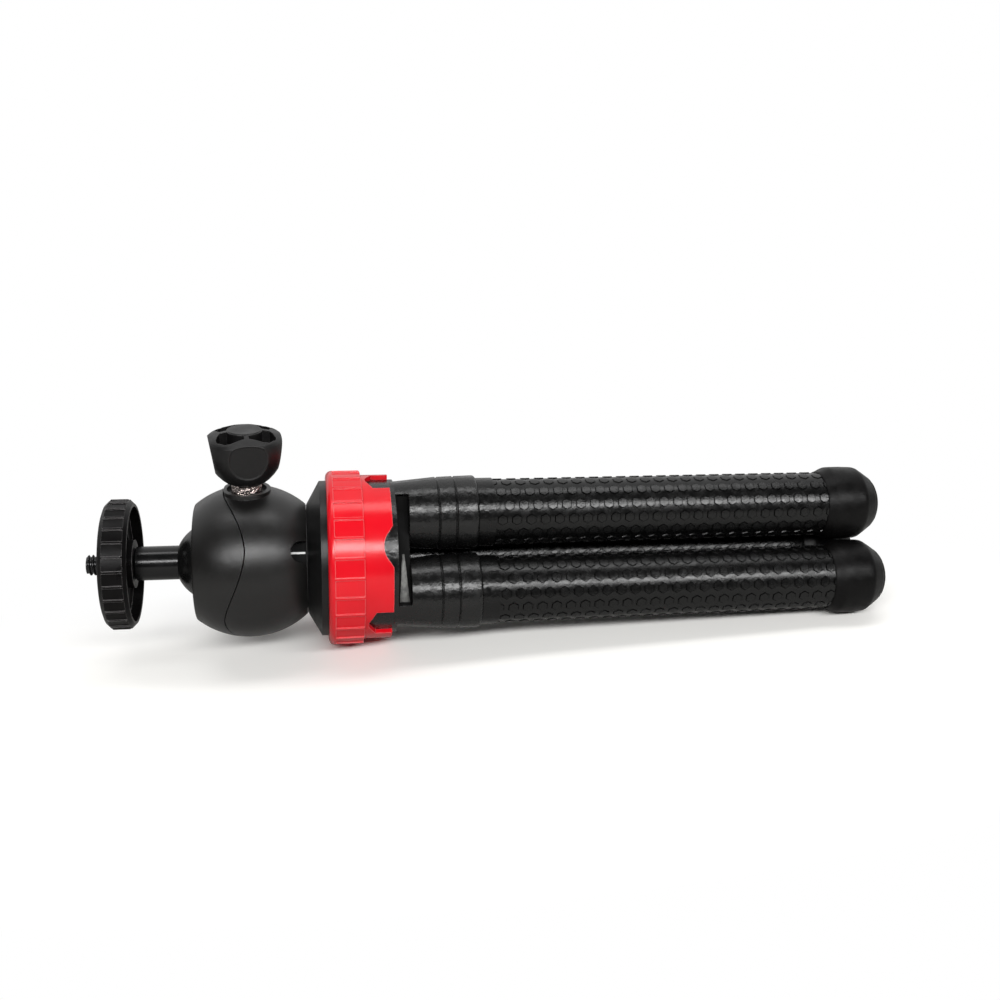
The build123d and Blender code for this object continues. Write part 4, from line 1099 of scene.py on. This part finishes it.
@dataclass
class Studio:
    """The white table, the soft light over it and the camera. Lengths are in metres.

    The table is the pale floor near the object and fades to plain white between two distances
    from its middle, which are measured on floor coordinates that are moved and squeezed.
    """

    place: Triple = (-0.054225, -0.323781, 0.172019)
    forward: Triple = (0.153513, 0.918339, -0.36481)
    upward: Triple = (0.070284, 0.358104, 0.931033)
    lens: float = 39.6871
    sensor: float = 36.0
    nearest: float = 0.01
    floor_size: float = 6.0
    floor_seen: Shade = (1.08, 1.07, 1.04, 1.0)
    floor_reflected: Shade = (0.48, 0.475, 0.46, 1.0)
    fade: Span = (0.062, 0.118)
    fade_move: Triple = (0.0, 0.050, 0.0)
    fade_squeeze: Triple = (0.45, 1.25, 1.0)
    room_depth: Span = (-0.25, 0.55)
    room_light: Span = (0.07, 0.80)
    aim: Triple = (0.0, 0.0, 0.03)
    lamps: tuple[SoftBox, ...] = (
        SoftBox("front_strip", (0.02, -0.42, 0.33), (0.95, 0.085), 3.7),
        SoftBox("ceiling_strip", (0.0, 0.06, 0.75), (0.9, 0.16), 1.6),
    )

    def camera(self) -> None:
        """Sets up the camera at the photograph's viewing angle."""
        data = bpy.data.cameras.new("view")
        data.lens, data.sensor_width, data.clip_start = self.lens, self.sensor, self.nearest
        camera = bpy.data.objects.new("view", data)
        bpy.context.scene.collection.objects.link(camera)
        back = -Vector(self.forward).normalized()
        up = Vector(self.upward).normalized()
        turn = Matrix((up.cross(back), up, back)).transposed().to_4x4()
        camera.matrix_world = Matrix.Translation(self.place) @ turn
        bpy.context.scene.camera = camera

    def _faded(self, tree: Tree) -> Socket:
        """How far the table has faded to white at each place on it.

        Args:
            tree: the node tree of the table's material.

        Returns:
            0 near the object and 1 away from it.
        """
        spot = tree.nodes.new("ShaderNodeTexCoord")
        squeeze = tree.nodes.new("ShaderNodeMapping")
        squeeze.inputs["Location"].default_value = self.fade_move
        squeeze.inputs["Scale"].default_value = self.fade_squeeze
        length = tree.nodes.new("ShaderNodeVectorMath")
        length.operation = "LENGTH"
        tree.links.new(spot.outputs["Object"], squeeze.inputs["Vector"])
        tree.links.new(squeeze.outputs["Vector"], length.inputs[0])
        return ranged(tree, length.outputs["Value"], (0.0, 1.0), self.fade, smooth=True)

    def floor(self) -> None:
        """Lays the pale table, which shows the object's shadow and fades to white away from it."""
        deselect_all()
        bpy.ops.mesh.primitive_plane_add(size=self.floor_size, location=(0.0, 0.0, 0.0))
        floor = bpy.context.object
        floor.name = "table_top"
        paper = bpy.data.materials.new("white_table")
        paper.use_nodes = True
        tree = paper.node_tree
        tree.nodes.remove(tree.nodes["Principled BSDF"])
        rays = tree.nodes.new("ShaderNodeLightPath")
        seen = rays.outputs["Is Camera Ray"]
        matt = tree.nodes.new("ShaderNodeBsdfDiffuse")
        shade = mixed(tree, seen, self.floor_reflected, self.floor_seen)
        tree.links.new(shade, matt.inputs["Color"])
        white = tree.nodes.new("ShaderNodeEmission")
        seen_through = tree.nodes.new("ShaderNodeMath")
        seen_through.operation, seen_through.use_clamp = "ADD", True
        tree.links.new(seen, seen_through.inputs[0])
        tree.links.new(rays.outputs["Is Transmission Ray"], seen_through.inputs[1])
        away = tree.nodes.new("ShaderNodeMath")
        away.operation = "MULTIPLY"
        tree.links.new(self._faded(tree), away.inputs[0])
        tree.links.new(seen_through.outputs[0], away.inputs[1])
        table = tree.nodes.new("ShaderNodeMixShader")
        for number, socket in enumerate((away.outputs[0], matt.outputs[0], white.outputs[0])):
            tree.links.new(socket, table.inputs[number])
        tree.links.new(table.outputs[0], tree.nodes["Material Output"].inputs["Surface"])
        floor.data.materials.append(paper)

    def world(self) -> None:
        """A soft white room, white to the camera, bright behind the object and dim before it."""
        world = bpy.data.worlds.new("studio_room")
        bpy.context.scene.world = world
        world.use_nodes = True
        tree = world.node_tree
        background = tree.nodes["Background"]
        background.inputs["Color"].default_value = (1.0, 1.0, 1.0, 1.0)
        around = tree.nodes.new("ShaderNodeTexCoord")
        split = tree.nodes.new("ShaderNodeSeparateXYZ")
        tree.links.new(around.outputs["Generated"], split.inputs[0])
        depth = ranged(tree, split.outputs["Y"], self.room_light, self.room_depth, smooth=True)
        rays = tree.nodes.new("ShaderNodeLightPath")
        strength = tree.nodes.new("ShaderNodeMix")
        strength.data_type = "FLOAT"
        tree.links.new(rays.outputs["Is Camera Ray"], strength.inputs[0])
        tree.links.new(depth, strength.inputs[NUMBER_A])
        strength.inputs[NUMBER_B].default_value = 1.0
        tree.links.new(strength.outputs[0], background.inputs["Strength"])

    def build(self) -> None:
        """Sets the whole studio up."""
        bpy.context.scene.view_settings.view_transform = "Standard"
        self.camera()
        self.floor()
        self.world()
        for lamp in self.lamps:
            lamp.hang(Vector(self.aim))
        LOG.info("studio: %d lamps", len(self.lamps))


def main() -> None:
    """Builds the tripod's pieces in order, then the studio."""
    logging.basicConfig(level=logging.INFO, format="%(name)s %(message)s")
    CadDressing().dress(frame["nodes"])
    CameraScrew().build()
    ClampKnob().build()
    NeckWasher().build()
    SlotLinings().build()
    HexagonSleeves().build()
    RubberFeet().build()
    Studio().build()


if __name__ == "__main__":
    main()
